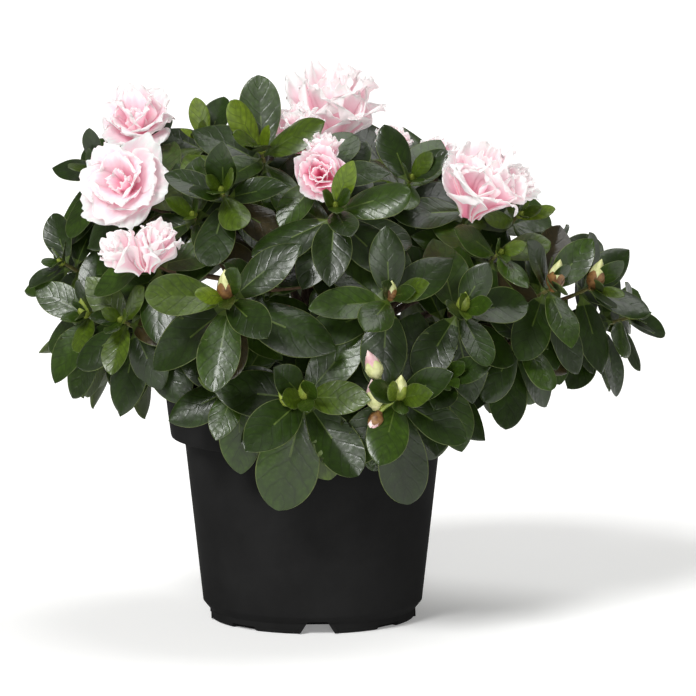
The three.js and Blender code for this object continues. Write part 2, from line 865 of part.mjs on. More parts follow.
const azalea = new THREE.Group();
azalea.add(piece("pot", makePot(), MATERIALS.pot));
azalea.add(piece("root_ball", makeRootBall(), MATERIALS.soil));
azalea.add(piece("trunk", makeTrunk(0), MATERIALS.bark));
const trunkClear = makeTrunk(GAP);
for (const mass of masses) {
  const bough = limb(mass.bough.points, boughRadii, BOUGH.sides).subtract(trunkClear);
  azalea.add(piece(`bough_${mass.name}`, bough, MATERIALS.bark));
  azalea.add(piece(`foliage_${mass.name}`, makeMass(mass), MATERIALS.foliage));
}

export default azalea;
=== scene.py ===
"""The looks of a pot-grown azalea: glossy leaves, ruffled blooms, buds, bark, peat and a black pot.

The shrub grows here by the same rule as its solids, from the same named sizes, and goes on from there
to more leaves on each twig, with veins and petioles, and to petals and bud scales. Sizes are in
millimetres until a mesh is made.
"""

import json
import logging
import math
from collections.abc import Callable, Iterable, Sequence
from dataclasses import dataclass, field, replace
from enum import Enum, IntEnum

import bpy
import numpy as np
from bpy.types import Material, NodeSocket, Object
from mathutils import Matrix, Vector

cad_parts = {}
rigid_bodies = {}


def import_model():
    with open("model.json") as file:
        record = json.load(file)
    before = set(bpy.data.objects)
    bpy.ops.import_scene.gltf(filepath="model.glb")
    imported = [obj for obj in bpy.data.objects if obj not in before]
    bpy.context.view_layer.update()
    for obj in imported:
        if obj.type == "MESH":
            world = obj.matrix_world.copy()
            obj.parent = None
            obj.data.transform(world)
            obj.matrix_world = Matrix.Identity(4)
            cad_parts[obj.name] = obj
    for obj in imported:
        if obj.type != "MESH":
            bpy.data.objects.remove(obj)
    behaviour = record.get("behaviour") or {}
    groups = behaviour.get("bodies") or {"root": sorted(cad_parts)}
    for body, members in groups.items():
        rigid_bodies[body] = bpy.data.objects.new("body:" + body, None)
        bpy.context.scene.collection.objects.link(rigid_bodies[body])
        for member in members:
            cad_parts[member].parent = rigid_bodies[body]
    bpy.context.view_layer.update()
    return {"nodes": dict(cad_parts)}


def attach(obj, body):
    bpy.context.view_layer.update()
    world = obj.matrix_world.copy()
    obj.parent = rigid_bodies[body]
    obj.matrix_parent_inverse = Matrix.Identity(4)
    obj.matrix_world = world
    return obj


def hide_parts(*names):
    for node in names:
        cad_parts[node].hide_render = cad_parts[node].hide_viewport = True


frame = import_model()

log = logging.getLogger("azalea")

Array = np.ndarray
Triple = tuple[float, float, float]
MM = 0.001
UP = np.array([0.0, 0.0, 1.0])
SEED = 41
GAP = 0.3
WORD = 0xFFFFFFFF


# ---- numbers
def chance(*keys: int) -> float:
    """An even number from 0 to 1 that depends only on the keys.

    Args:
        keys: Whole numbers that say what the number is for.

    Returns:
        The number.
    """
    value = SEED
    for key in keys:
        value = ((value ^ (key + 1)) & WORD) * 0x9E3779B1 & WORD
        value ^= value >> 15
        value = value * 0x85EBCA6B & WORD
        value ^= value >> 13
    return value / 2**32


def between(low: float, high: float, share: float) -> float:
    """The number at a share of the way from low to high."""
    return low + (high - low) * share


def unit(vector: Array) -> Array:
    """The vector at a length of one."""
    return vector / np.linalg.norm(vector)


def polar(bearing: float, reach: float, height: float) -> Array:
    """A point from its bearing in degrees, its distance from the axis and its height."""
    angle = math.radians(bearing)
    return np.array([reach * math.cos(angle), reach * math.sin(angle), height])


def square_to(direction: Array) -> Array:
    """A unit vector square to the direction, always the same one for the same direction."""
    helper = UP if abs(direction[2]) < 0.9 else np.array([1.0, 0.0, 0.0])
    return unit(np.cross(helper, direction))


def smoothstep(low: float, high: float, value: Array) -> Array:
    """0 below low, 1 above high, and a smooth ramp in between."""
    share = np.clip((value - low) / (high - low), 0.0, 1.0)
    return share * share * (3.0 - 2.0 * share)


def phase(key: int, draw: int) -> float:
    """A chance place on a wave, in radians."""
    return 6.3 * chance(key, draw)


def bezier(points: Sequence[Array], shares: Array) -> Array:
    """Points of a cubic Bezier curve.

    Args:
        points: Its four control points.
        shares: Where on it, from 0 to 1.

    Returns:
        A point for each share.
    """
    t = np.asarray(shares, float)[:, None]
    a, b, c, d = points
    return (1 - t) ** 3 * a + 3 * (1 - t) ** 2 * t * b + 3 * (1 - t) * t**2 * c + t**3 * d


# ---- sizes
@dataclass(frozen=True)
class PotSize:
    """A nursery pot 12 cm over its rim."""

    height: float = 93.5
    rim_radius: float = 60.0
    lip_height: float = 1.6
    collar_top: float = 58.7
    collar_foot: float = 56.4
    collar_height: float = 20.5
    body_top: float = 51.0
    body_foot: float = 43.7
    chamfer_top: float = 7.1
    chamfer_foot: float = 4.0
    base_radius: float = 41.2
    wall: float = 1.0
    floor: float = 1.2
    sides: int = 192

    @property
    def step(self) -> float:
        """The height of the step under the collar."""
        return self.height - self.collar_height


@dataclass(frozen=True)
class ChannelSize:
    """The drainage channels in the pot's foot, and the shallow recesses between them."""

    count: int = 4
    turn: float = 3.0
    height: float = 5.1
    top_width: float = 7.5
    foot_width: float = 14.0
    inner_end: float = 20.0
    frame_width: float = 19.0
    frame_height: float = 4.7
    frame_depth: float = 0.5
    recess_width: float = 12.0
    recess_height: float = 1.8
    recess_depth: float = 4.0


@dataclass(frozen=True)
class SoilSize:
    """The peat's top."""

    top: float = 86.5
    flat_radius: float = 14.0
    edge_drop: float = 1.5


@dataclass(frozen=True)
class TrunkSize:
    """The short trunk."""

    radius: float = 6.2
    fork_radius: float = 5.4
    height: float = 24.0
    lean_x: float = 1.2
    lean_y: float = -0.8


@dataclass(frozen=True)
class BoughSize:
    """The boughs, and the tiers in which they leave the trunk: masses fed, share of its height.

    A bough keeps its heading over a lead at each end, a share of its length.
    """

    root_radius: float = 1.7
    tip_radius: float = 1.3
    steps: int = 5
    reach_share: float = 0.56
    lift: float = 0.16
    room: float = 1.0
    root_lead: float = 0.35
    tip_lead: float = 0.3
    turns: tuple[float, ...] = (0, 25, -25, 50, -50, 75, -75)
    offsets: tuple[float, ...] = (0, 0.09, -0.09, 0.16, -0.16)
    tiers: tuple[tuple[int, float], ...] = ((8, 0.2), (6, 0.46), (4, 0.72))


@dataclass(frozen=True)
class TwigSize:
    """The stem of a mass and its twigs, which are green between two of their rings."""

    stem: float = 5.0
    stem_radii: tuple[float, ...] = (1.35, 1.4, 1.35, 1.1)
    sides: int = 8
    skin_root: float = 1.1
    skin_tip: float = 0.7
    knots: float = 0.08
    green_rings: tuple[int, int] = (12, 30)
    root_radius: float = 1.15
    straight: float = 12.0
    steps: int = 3
    lead: float = 0.3


@dataclass(frozen=True)
class LeafSize:
    """A leaf and how the leaves of a shoot follow each other."""

    half_width: float = 0.25
    thickness: float = 0.7
    youngest: float = 0.55
    spacing: float = 1.25
    golden_angle: float = 137.508
    open_from: float = 36.0
    open_to: float = 98.0
    under_bloom: float = 30.0


@dataclass(frozen=True)
class MoreLeafSize:
    """The leaves that a twig bears besides those of its solid: older ones behind, small ones at its tip."""

    older: int = 7
    older_length: float = 33.0
    older_back: float = 12.5
    older_spacing: float = 2.1
    older_turn: float = 71.0
    older_open: float = 88.0
    older_from: int = 30
    young: int = 3
    young_back: float = 0.4
    young_turn: float = 40.0
    young_open: float = 24.0
    young_from: int = 60
    droop: float = 0.15
    pad: float = 0.25
    gap: float = 0.15
    turns: tuple[float, ...] = (0, 20, -20, 40, -40, 60, -60)


@dataclass(frozen=True)
class BloomSize:
    """The room that a bloom takes: two whorls of five lobes, each as opening, size and lift."""

    thickness: float = 0.9
    reach: float = 0.58
    petals: int = 5
    corners: int = 15
    whorls: tuple[tuple[int, float, float], ...] = ((62, 1.0, -1.4), (30, 0.88, 0.4))


@dataclass(frozen=True)
class BudSize:
    """A plump bud, which turns up at its foot, and the small bud at a leafy twig's end."""

    length: float = 12.0
    radius: float = 3.4
    rise: float = 1.8
    small_length: float = 6.2
    small_radius: float = 1.8


POT = PotSize()
CHANNEL = ChannelSize()
SOIL = SoilSize()
TRUNK = TrunkSize()
BOUGH = BoughSize()
TWIG = TwigSize()
LEAF = LeafSize()
MORE = MoreLeafSize()
BLOOM = BloomSize()
BUD = BudSize()


class ShootKind(Enum):
    """What a shoot ends in."""

    LEAFY = "leafy"
    YOUNG = "young"
    BUD = "bud"
    BLOOM = "bloom"

    @property
    def leaves(self) -> int:
        """The number of its leaves."""
        return {ShootKind.YOUNG: 7, ShootKind.BLOOM: 5}.get(self, 8)

    @property
    def upright(self) -> float:
        """How much more upright than others they stand, in degrees."""
        return 16 if self is ShootKind.YOUNG else 0


# Bearing, reach, height, kind, length of the longest leaf or width of the bloom, and that leaf's turn.
ShootRow = tuple[float, float, float, str, float, float]
MASSES: dict[str, tuple[ShootRow, ...]] = {
    "left_low": (
        (-168, 91, 124, "bud", 33, 190),
        (180, 99, 142, "leafy", 29, 150),
        (-146, 89, 126, "leafy", 29, 305),
    ),
    "left_high": (
        (176, 68, 197, "bloom", 28, 125),
        (-153, 79, 177, "bloom", 39, 225),
        (180, 85, 179, "leafy", 32, 215),
    ),
    "left_front": (
        (-136, 89, 154, "bloom", 29, 200),
        (-111, 90, 140, "bud", 44, 212),
        (-134, 66, 167, "leafy", 34, 340),
    ),
    "top_left": (
        (-117, 43, 191, "young", 37, 165),
        (177, 43, 191, "young", 26, 175),
        (-120, 69, 178, "leafy", 33, 335),
    ),
    "top_middle": (
        (63, 11, 196, "bloom", 44, 205),
        (-99, 20, 193, "bloom", 27, 80),
        (-86, 55, 185, "bloom", 27, 85),
    ),
    "middle_front": (
        (-70, 89, 140, "bud", 37, 125),
        (-83, 75, 174, "leafy", 38, 180),
        (-106, 69, 145, "leafy", 28, 80),
    ),
    "top_right": (
        (4, 31, 188, "bloom", 27, 55),
        (25, 55, 180, "bloom", 24, 85),
        (-31, 78, 175, "bloom", 36, 275),
        (-38, 49, 179, "leafy", 33, 140),
    ),
    "right_middle": (
        (-32, 86, 152, "leafy", 33, 180),
        (-49, 89, 133, "bud", 34, 315),
        (7, 98, 144, "leafy", 33, 35),
        (-12, 83, 163, "young", 26, 20),
    ),
    "right_low": (
        (-24, 103, 138, "bud", 37, 300),
        (-2, 111, 133, "bud", 37, 355),
        (7, 128, 118, "leafy", 27, 10),
        (-28, 95, 119, "leafy", 32, 310),
    ),
    "low_left": (
        (-92, 82, 101, "bud", 43, 255),
        (-115, 71, 103, "leafy", 34, 288),
        (-83, 60, 120, "leafy", 30, 255),
    ),
    "low_right": (
        (-68, 90, 101, "bud", 40, 280),
        (-52, 84, 107, "leafy", 34, 265),
    ),
}


@dataclass(frozen=True)
class BackTier:
    """One tier of the masses behind."""

    name: str
    start: float
    end: float
    count: int
    reach: float
    height: int


BACK_TIERS = (
    BackTier("low", 28, 152, 4, 90, 128),
    BackTier("high", 52, 134, 3, 66, 162),
)
BACK_SPREAD = 32.0
BACK_SHOOTS = 3
BACK_LEAF = 34.0
# Places where the crown is open right through, as seen from the front and slightly above: to the right of
# the pot's axis, height, and radius.
SKY_GAPS = (
    (-40.7, 136.2, 1.8),
    (-45.2, 126.0, 1.6),
    (-17.7, 121.6, 1.2),
    (-5.4, 123.2, 1.6),
    (32.4, 123.2, 1.6),
    (101.0, 131.5, 2.2),
)
VIEW_RISE = math.tan(math.radians(8.5))
FRONT_PIVOT = np.array([0.0, 100.0, 112.0])
BACK_PIVOT = np.array([0.0, 0.0, 112.0])
SHOOT_LIFT = 0.3


# ---- colours and materials
def linear(colour: str) -> tuple[float, float, float, float]:
    """A hex sRGB colour as the linear colour that a shader takes.

    Args:
        colour: Six hex digits after a hash sign.

    Returns:
        Red, green and blue in linear light, with an alpha of one.
    """
    parts = [int(colour[i : i + 2], 16) / 255 for i in (1, 3, 5)]
    light = [p / 12.92 if p <= 0.04045 else ((p + 0.055) / 1.055) ** 2.4 for p in parts]
    return (light[0], light[1], light[2], 1.0)


class Shader:
    """A material under construction: one principled surface and what feeds it."""

    def __init__(self, name: str) -> None:
        """Starts a material with a bare surface.

        Args:
            name: Its name.
        """
        self.material = bpy.data.materials.new(name)
        self.material.use_nodes = True
        self.tree = self.material.node_tree
        self.tree.nodes.clear()
        self.surface = self.node("ShaderNodeBsdfPrincipled")
        output = self.node("ShaderNodeOutputMaterial")
        self.tree.links.new(self.surface.outputs["BSDF"], output.inputs["Surface"])

    def node(self, kind: str, inputs: dict | None = None, **settings: object) -> bpy.types.Node:
        """Adds a node with its settings and inputs.

        Args:
            kind: The node's type name.
            inputs: A socket to link from, or a plain value, by input name or number.
            settings: The node's own properties.

        Returns:
            The new node.
        """
        made = self.tree.nodes.new(kind)
        for name, value in settings.items():
            setattr(made, name, value)
        for name, value in (inputs or {}).items():
            self.give(made.inputs[name], value)
        return made

    def give(self, socket: NodeSocket, value: object) -> None:
        """Links another socket to one, or sets it to a plain value.

        Args:
            socket: The socket that takes it.
            value: A socket to link from, or a plain value.
        """
        if isinstance(value, NodeSocket):
            self.tree.links.new(value, socket)
        else:
            socket.default_value = value

    def feed(self, name: str, value: object) -> None:
        """Sets one input of the surface, to a socket or a plain value."""
        self.give(self.surface.inputs[name], value)

    def noise(self, size_mm: float, detail: float = 3.0, roughness: float = 0.5) -> NodeSocket:
        """Noise in the object's own space.

        Args:
            size_mm: The real size of its lumps.
            detail: How many finer layers it has.
            roughness: How strong the finer layers are.

        Returns:
            A factor from 0 to 1.
        """
        place = self.node("ShaderNodeTexCoord").outputs["Object"]
        made = self.node(
            "ShaderNodeTexNoise",
            {"Vector": place, "Scale": 1.0 / (size_mm * MM), "Detail": detail, "Roughness": roughness},
        )
        return made.outputs["Fac"]

    def net(self, size_mm: float) -> NodeSocket:
        """Rounded cells with a net of hollows between them.

        Args:
            size_mm: The real size of a cell.

        Returns:
            1 in the middle of a cell, and 0 far from it.
        """
        place = self.node("ShaderNodeTexCoord").outputs["Object"]
        made = self.node(
            "ShaderNodeTexVoronoi",
            {"Vector": place, "Scale": 1.0 / (size_mm * MM)},
            feature="SMOOTH_F1",
        )
        return self.span(made.outputs["Distance"], 1.0, 0.0)

    def math(self, operation: str, *values: object, clamp: bool = False) -> NodeSocket:
        """A sum of up to three sockets or numbers."""
        made = self.node("ShaderNodeMath", dict(enumerate(values)), operation=operation, use_clamp=clamp)
        return made.outputs["Value"]

    def ramp(self, factor: NodeSocket, stops: Sequence[tuple[float, str]]) -> NodeSocket:
        """A colour ramp over a factor.

        Args:
            factor: What runs along the ramp.
            stops: Places on it, each with a hex colour.

        Returns:
            The colour.
        """
        made = self.node("ShaderNodeValToRGB", {"Fac": factor})
        elements = made.color_ramp.elements
        while len(elements) < len(stops):
            elements.new(0.5)
        for element, (place, colour) in zip(elements, stops):
            element.position = place
            element.color = linear(colour)
        return made.outputs["Color"]

    def span(self, factor: NodeSocket, low: float, high: float) -> NodeSocket:
        """A factor from 0 to 1 mapped to low to high."""
        made = self.node("ShaderNodeMapRange", {"Value": factor, "To Min": low, "To Max": high})
        return made.outputs["Result"]

    def bump(self, height: NodeSocket, depth_mm: float, strength: float = 1.0) -> None:
        """Small relief, also under a coat.

        Args:
            height: The relief, as a factor.
            depth_mm: How deep a factor of one is.
            strength: How much of it shows.
        """
        made = self.node(
            "ShaderNodeBump", {"Height": height, "Distance": depth_mm * MM, "Strength": strength}
        )
        self.feed("Normal", made.outputs["Normal"])
        self.feed("Coat Normal", made.outputs["Normal"])


@dataclass(frozen=True)
class LeafFinish:
    """A leathery azalea leaf: a waxy upper face that mirrors soft light in patches between its veins."""

    name: str
    colour: str
    shade: str
    roughness: float = 0.34
    coat: float = 0.18

    def build(self) -> Material:
        """Gives wax a sheen, sinks the side veins and the net between them, and paints shade into these
        hollows.

        Returns:
            The material.
        """
        made = Shader(self.name)
        tone = made.ramp(made.noise(14.0, 2.0), [(0.3, self.shade), (0.72, self.colour)])
        relief = made.math("MULTIPLY", made.net(1.7), self.side_veins(made))
        # The mix darkens the colour where the relief sinks: painted shade in the veins and the net of
        # hollows.
        dark = made.node(
            "ShaderNodeMix",
            {0: made.span(relief, 0.65, 0.0), 6: tone, 7: linear("#0e1505")},
            data_type="RGBA",
        )
        made.feed("Base Color", dark.outputs[2])
        made.feed("Roughness", made.span(made.noise(4.0), self.roughness - 0.08, self.roughness + 0.12))
        made.feed("Specular IOR Level", 0.36)
        made.feed("Coat Weight", self.coat)
        made.feed("Coat Roughness", 0.16)
        made.bump(made.math("MULTIPLY_ADD", made.noise(2.6, 2.0), 0.6, relief), 0.1, 0.8)
        return made.material

    @staticmethod
    def side_veins(made: Shader) -> NodeSocket:
        """The side veins, which run out and forwards from the midrib.

        Args:
            made: The leaf's material.

        Returns:
            A quarter on a vein, and 1 between veins.
        """
        place = made.node("ShaderNodeUVMap", uv_map="leaf").outputs[0]
        spot = made.node("ShaderNodeSeparateXYZ", {0: place})
        across = made.math("FRACT", spot.outputs["X"])
        reach = made.math("ABSOLUTE", made.math("MULTIPLY_ADD", across, 2.0, -1.0))
        along = made.math("MULTIPLY_ADD", reach, -LeafMaker.VEIN_SLANT, spot.outputs["Y"])
        wander = made.span(made.noise(6.0), -0.35, 0.35)
        wave = made.math("FRACT", made.math("MULTIPLY_ADD", along, LeafMaker.VEINS, wander))
        from_vein = made.math("ABSOLUTE", made.math("MULTIPLY_ADD", wave, 2.0, -1.0))
        return made.span(made.math("MULTIPLY", from_vein, 4.0, clamp=True), 0.25, 1.0)


@dataclass(frozen=True)
class PlainFinish:
    """A thin plant skin of one colour with a slight unevenness."""

    name: str
    colour: str
    shade: str
    roughness: float
    size_mm: float = 3.0
    scatter: float = 0.0

    def build(self) -> Material:
        """Mottles two near colours softly, as on a living surface.

        Returns:
            The material.
        """
        made = Shader(self.name)
        tone = made.noise(self.size_mm, 3.0)
        made.feed("Base Color", made.ramp(tone, [(0.32, self.shade), (0.68, self.colour)]))
        made.feed("Roughness", self.roughness)
        if self.scatter:
            made.feed("Subsurface Weight", self.scatter)
            made.feed("Subsurface Radius", (0.5, 0.4, 0.3))
            made.feed("Subsurface Scale", 1.2 * MM)
        return made.material


@dataclass(frozen=True)
class PetalFinish:
    """A thin, moist petal, white at its ruffled edge and pink towards its heart."""

    name: str = "petal tissue, pink to white"

    def build(self) -> Material:
        """Softens a petal's own tint with scattered light, and adds a painted glow in that tint, which
        lightens its shaded parts where light would shine through it.

        Returns:
            The material.
        """
        made = Shader(self.name)
        tint = made.node("ShaderNodeVertexColor", layer_name="tint").outputs["Color"]
        made.feed("Base Color", tint)
        made.feed("Roughness", 0.5)
        made.feed("Specular IOR Level", 0.3)
        made.feed("Subsurface Weight", 0.8)
        made.feed("Subsurface Radius", (1.0, 0.75, 0.8))
        made.feed("Subsurface Scale", 3.0 * MM)
        # A painted glow: the petal emits its own tint, so its shade is lighter than the lamps alone make it.
        made.feed("Emission Color", tint)
        made.feed("Emission Strength", 0.09)
        made.bump(made.noise(0.9, 2.0), 0.05)
        return made.material


@dataclass(frozen=True)
class BarkFinish:
    """Young azalea bark: thin, brown and finely split lengthways."""

    name: str = "azalea bark"

    def build(self) -> Material:
        """Lays grey flakes over brown, with short ridges that catch the light.

        Returns:
            The material.
        """
        made = Shader(self.name)
        flakes = made.noise(2.2, 6.0, 0.65)
        made.feed("Base Color", made.ramp(flakes, [(0.25, "#241a14"), (0.5, "#423123"), (0.78, "#6e5c49")]))
        made.feed("Roughness", made.span(made.noise(4.0), 0.75, 0.95))
        made.bump(made.noise(0.8, 5.0, 0.7), 0.35)
        return made.material


@dataclass(frozen=True)
class PeatFinish:
    """Moist peat with paler fibres and crumbs."""

    name: str = "moist peat"

    def build(self) -> Material:
        """Mixes dark wet hollows with lighter dry crumbs.

        Returns:
            The material.
        """
        made = Shader(self.name)
        crumbs = made.noise(2.4, 8.0, 0.7)
        made.feed("Base Color", made.ramp(crumbs, [(0.3, "#120c08"), (0.55, "#2e1f15"), (0.8, "#5a4330")]))
        made.feed("Roughness", 0.95)
        made.bump(made.noise(1.6, 8.0, 0.7), 0.8)
        return made.material


@dataclass(frozen=True)
class PotFinish:
    """Thin thermoformed black plastic, dulled by dust and handling, with the faint waviness of its mould."""

    name: str = "black nursery pot plastic"

    def build(self) -> Material:
        """Keeps it so dusty that its flanks mirror almost nothing of the pale floor.

        Returns:
            The material.
        """
        made = Shader(self.name)
        dust = made.noise(30.0, 6.0, 0.6)
        made.feed("Base Color", made.ramp(dust, [(0.35, "#1c1c1c"), (0.75, "#232323")]))
        made.feed("Roughness", made.span(made.noise(6.0, 4.0), 0.5, 0.6))
        made.feed("Specular IOR Level", 0.003)
        made.bump(made.noise(0.6, 2.0), 0.02)
        return made.material


@dataclass(frozen=True)
class FloorFinish:
    """A pale seamless studio floor."""

    name: str = "pale studio floor"

    def build(self) -> Material:
        """Keeps it matte and lit a little from below, so that only a soft contact shadow shows.

        Returns:
            The material.
        """
        made = Shader(self.name)
        made.feed("Base Color", made.ramp(made.noise(400.0), [(0.0, "#f4f4f3"), (1.0, "#f8f8f7")]))
        made.feed("Roughness", 0.9)
        made.feed("Specular IOR Level", 0.2)
        made.feed("Emission Color", linear("#ffffff"))
        made.feed("Emission Strength", 0.22)
        return made.material


class LeafTone(Enum):
    """The tints that the leaves are dealt, by shoot and age."""

    DEEP = LeafFinish("leaf, deep green", "#253a08", "#182704")
    GREEN = LeafFinish("leaf, mid green", "#364f0d", "#253807")
    OLIVE = LeafFinish("leaf, olive green", "#4e6410", "#3a4d0b", 0.36, 0.15)
    YOUNG = LeafFinish("leaf, young yellow green", "#768d1c", "#5b7213", 0.42, 0.1)
    BRONZE = LeafFinish("leaf, bronze tinted", "#3c3218", "#261f0f", 0.3)


# ---- meshes
def placed(name: str, data: bpy.types.ID) -> Object:
    """A new object in the scene that shows the data.

    Args:
        name: Its name.
        data: Its mesh, lamp or lens.

    Returns:
        The object.
    """
    made = bpy.data.objects.new(name, data)
    bpy.context.scene.collection.objects.link(made)
    return made


def solid(name: str, points: Array, faces: Sequence[Sequence[int]]) -> Object:
    """A new object in the scene from corners and faces.

    Args:
        name: Its name.
        points: Its corners in millimetres.
        faces: The numbers of each face's corners.

    Returns:
        The object.
    """
    mesh = bpy.data.meshes.new(name)
    mesh.from_pydata((points * MM).tolist(), [], faces)
    return placed(name, mesh)


@dataclass
class Piece:
    """Many small surfaces that become one mesh, each face with one of the piece's materials."""

    name: str
    materials: Sequence[Material]
    points: list[Array] = field(default_factory=list)
    faces: list[Array] = field(default_factory=list)
    kinds: list[Array] = field(default_factory=list)
    tints: list[Array] = field(default_factory=list)
    spots: list[Array] = field(default_factory=list)
    count: int = 0

    def add(
        self,
        points: Array,
        faces: Array,
        kind: int | Array = 0,
        tint: Array | None = None,
        spots: Array | None = None,
    ) -> None:
        """Adds a surface.

        Args:
            points: Its corners in millimetres.
            faces: Corner numbers of its four-sided faces; a triangle repeats its last corner.
            kind: The material number, for all faces or for each.
            tint: A colour for each corner, in linear light.
            spots: A place on a leaf for each corner, across and along it.
        """
        self.points.append(np.asarray(points, float))
        self.faces.append(np.asarray(faces, int) + self.count)
        self.kinds.append(np.broadcast_to(kind, len(faces)).astype(int))
        if tint is not None:
            self.tints.append(tint)
        if spots is not None:
            self.spots.append(spots)
        self.count += len(points)

    def make(self, slot: str | None, *stands_for: str) -> None:
        """Makes the smooth mesh, which rides on the part and stands for some of its nodes.

        Args:
            slot: The record's material slot, if it has one. It is not used.
            stands_for: The CAD nodes that the piece replaces.
        """
        faces = [f[:3] if f[2] == f[3] else f for f in np.concatenate(self.faces).tolist()]
        made = solid(self.name, np.concatenate(self.points), faces)
        mesh = made.data
        for material in self.materials:
            mesh.materials.append(material)
        mesh.polygons.foreach_set("material_index", np.concatenate(self.kinds).astype(np.int32))
        if self.spots:
            corners = np.empty(len(mesh.loops), np.int32)
            mesh.loops.foreach_get("vertex_index", corners)
            layer = mesh.uv_layers.new(name="leaf")
            layer.uv.foreach_set("vector", np.concatenate(self.spots)[corners].astype(np.float32).ravel())
        if self.tints:
            layer = mesh.color_attributes.new("tint", "FLOAT_COLOR", "POINT")
            layer.data.foreach_set("color", np.concatenate(self.tints).astype(np.float32).ravel())
        mesh.shade_smooth()
        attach(made, "root")
        if stands_for:
            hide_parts(*stands_for)


def grid_faces(rows: int, columns: int, closed: bool = False, flipped: bool = False) -> Array:
    """The faces of a grid of corners, counted along its columns first.

    Args:
        rows: The number of rows of corners.
        columns: The number of corners in a row.
        closed: Whether each row runs round to its start.
        flipped: Whether the faces turn the other way.

    Returns:
        Four corner numbers for each face.
    """
    width = columns if closed else columns - 1
    row, column = np.mgrid[0 : rows - 1, 0:width]
    following = (column + 1) % columns
    here, there = row * columns, (row + 1) * columns
    faces = np.stack([here + column, here + following, there + following, there + column], -1)
    faces = faces.reshape(-1, 4)
    return faces[:, ::-1] if flipped else faces


def tube(
    points: Array, radii: Array, sides: int, rough: Callable[[Array, Array], Array] | None = None
) -> tuple[Array, Array]:
    """A closed tube along points.

    Args:
        points: The centre line.
        radii: The radius at each of its points.
        sides: The number of sides.
        rough: What to add to the radius, from the place along the tube and the angle round it.

    Returns:
        Its corners and its faces.
    """
    steps = len(points)
    tangents = np.gradient(points, axis=0)
    tangents /= np.linalg.norm(tangents, axis=1, keepdims=True)
    across = np.empty_like(points)
    across[0] = square_to(tangents[0])
    for i in range(1, steps):
        across[i] = unit(across[i - 1] - across[i - 1].dot(tangents[i]) * tangents[i])
    upward = np.cross(tangents, across)
    angle = np.arange(sides) * 2 * math.pi / sides
    radius = np.repeat(np.asarray(radii, float)[:, None], sides, 1)
    if rough:
        distance = np.concatenate([[0], np.cumsum(np.linalg.norm(np.diff(points, axis=0), axis=1))])
        radius = radius + rough(distance[:, None], angle[None, :])
    ring = across[:, None] * np.cos(angle)[None, :, None] + upward[:, None] * np.sin(angle)[None, :, None]
    skin = (points[:, None] + ring * radius[..., None]).reshape(-1, 3)
    corners = np.concatenate([skin, points[:1], points[-1:]])
    side, end = np.arange(sides), (steps - 1) * sides
    following = (side + 1) % sides
    first = np.full(sides, len(skin))
    front = np.stack([following, side, first, first], -1)
    rear = np.stack([end + side, end + following, first + 1, first + 1], -1)
    return corners, np.concatenate([grid_faces(steps, sides, closed=True), front, rear])


# ---- growth
@dataclass
class Blade:
    """The middle surface of a leaf."""

    foot: Array
    line: Array
    normal: Array
    across: Array
    length: float
    half_width: float
    curl: float
    fold: float
    age: float = 1.0
    number: int = 0

    def point(self, share: float | Array, side: float | Array) -> Array:
        """Points of the surface.

        Args:
            share: How far along it, from foot to tip.
            side: How far across it, from -1 to 1.

        Returns:
            The points.
        """
        share, side = np.broadcast_arrays(np.asarray(share, float), np.asarray(side, float))
        half = self.half_width * outline(share)
        sunk = self.curl * self.length * share**2 + self.fold * half * side**2
        return self.lay(share, side * half, -sunk)

    def lay(self, share: Array, out: Array, height: Array) -> Array:
        """Points over the leaf's plane.

        Args:
            share: How far along it, from foot to tip.
            out: How far out to the side.
            height: How high over the plane.

        Returns:
            The points.
        """
        return (
            self.foot
            + (self.length * share)[..., None] * self.line
            + out[..., None] * self.across
            + height[..., None] * self.normal
        )

    def triangles(self) -> Array:
        """The surface, for the tests for touching.

        Returns:
            Six triangles round its middle.
        """
        share = np.array([0, 0.25, 0.75, 1, 0.75, 0.25])
        side = np.array([0, 1, 1, 0, -1, -1])
        rim = self.point(share, side)
        middle = np.broadcast_to(self.point(0.5, 0.0), rim.shape)
        return np.stack([middle, rim, np.roll(rim, -1, 0)], 1)

    def net(self, reach: float, rows: int) -> Array:
        """A net of points over the surface, that many rows across it, out to a reach on each side."""
        share, side = np.meshgrid(np.linspace(0.1, 0.97, 8), np.linspace(-reach, reach, rows))
        return self.point(share, side).reshape(-1, 3)


def outline(share: Array) -> Array:
    """Half the width at a share of the length, as a share of the widest."""
    return share**0.9 * np.sqrt(np.clip(1 - share, 0, 1)) / 0.4015


@dataclass
class Shoot:
    """One twig's end with what it bears."""

    number: int
    tip: Array
    axis: Array
    kind: ShootKind
    size: float
    turn: float
    name: str
    bend: tuple[Array, ...] = ()
    leaves: list[Blade] = field(default_factory=list)

    def __post_init__(self) -> None:
        """Adds two directions square to the axis."""
        self.across = square_to(self.axis)
        self.upward = np.cross(self.axis, self.across)

    def place(self, along: float | Array, out: float | Array, angle: float | Array) -> Array:
        """Points about the tip.

        Args:
            along: How far along the axis.
            out: How far out from it.
            angle: At which angle round it, in radians.

        Returns:
            The points.
        """
        along, out, angle = np.broadcast_arrays(*(np.asarray(v, float) for v in (along, out, angle)))
        return (
            self.tip
            + along[..., None] * self.axis
            + (out * np.cos(angle))[..., None] * self.across
            + (out * np.sin(angle))[..., None] * self.upward
        )


@dataclass
class Mass:
    """A mass of foliage, its shoots and the bough that feeds it."""

    name: str
    shoots: list[Shoot]
    bough: tuple[Array, ...] = ()
    hub: Array = field(default_factory=lambda: np.zeros(3))

    @property
    def middle(self) -> Array:
        """The middle of its shoots."""
        return np.mean([shoot.tip for shoot in self.shoots], axis=0)

    @property
    def heading(self) -> Array:
        """The way its bough points at the tip."""
        ends = bezier(self.bough, np.array([0.9999, 1.0]))
        return unit(ends[1] - ends[0])


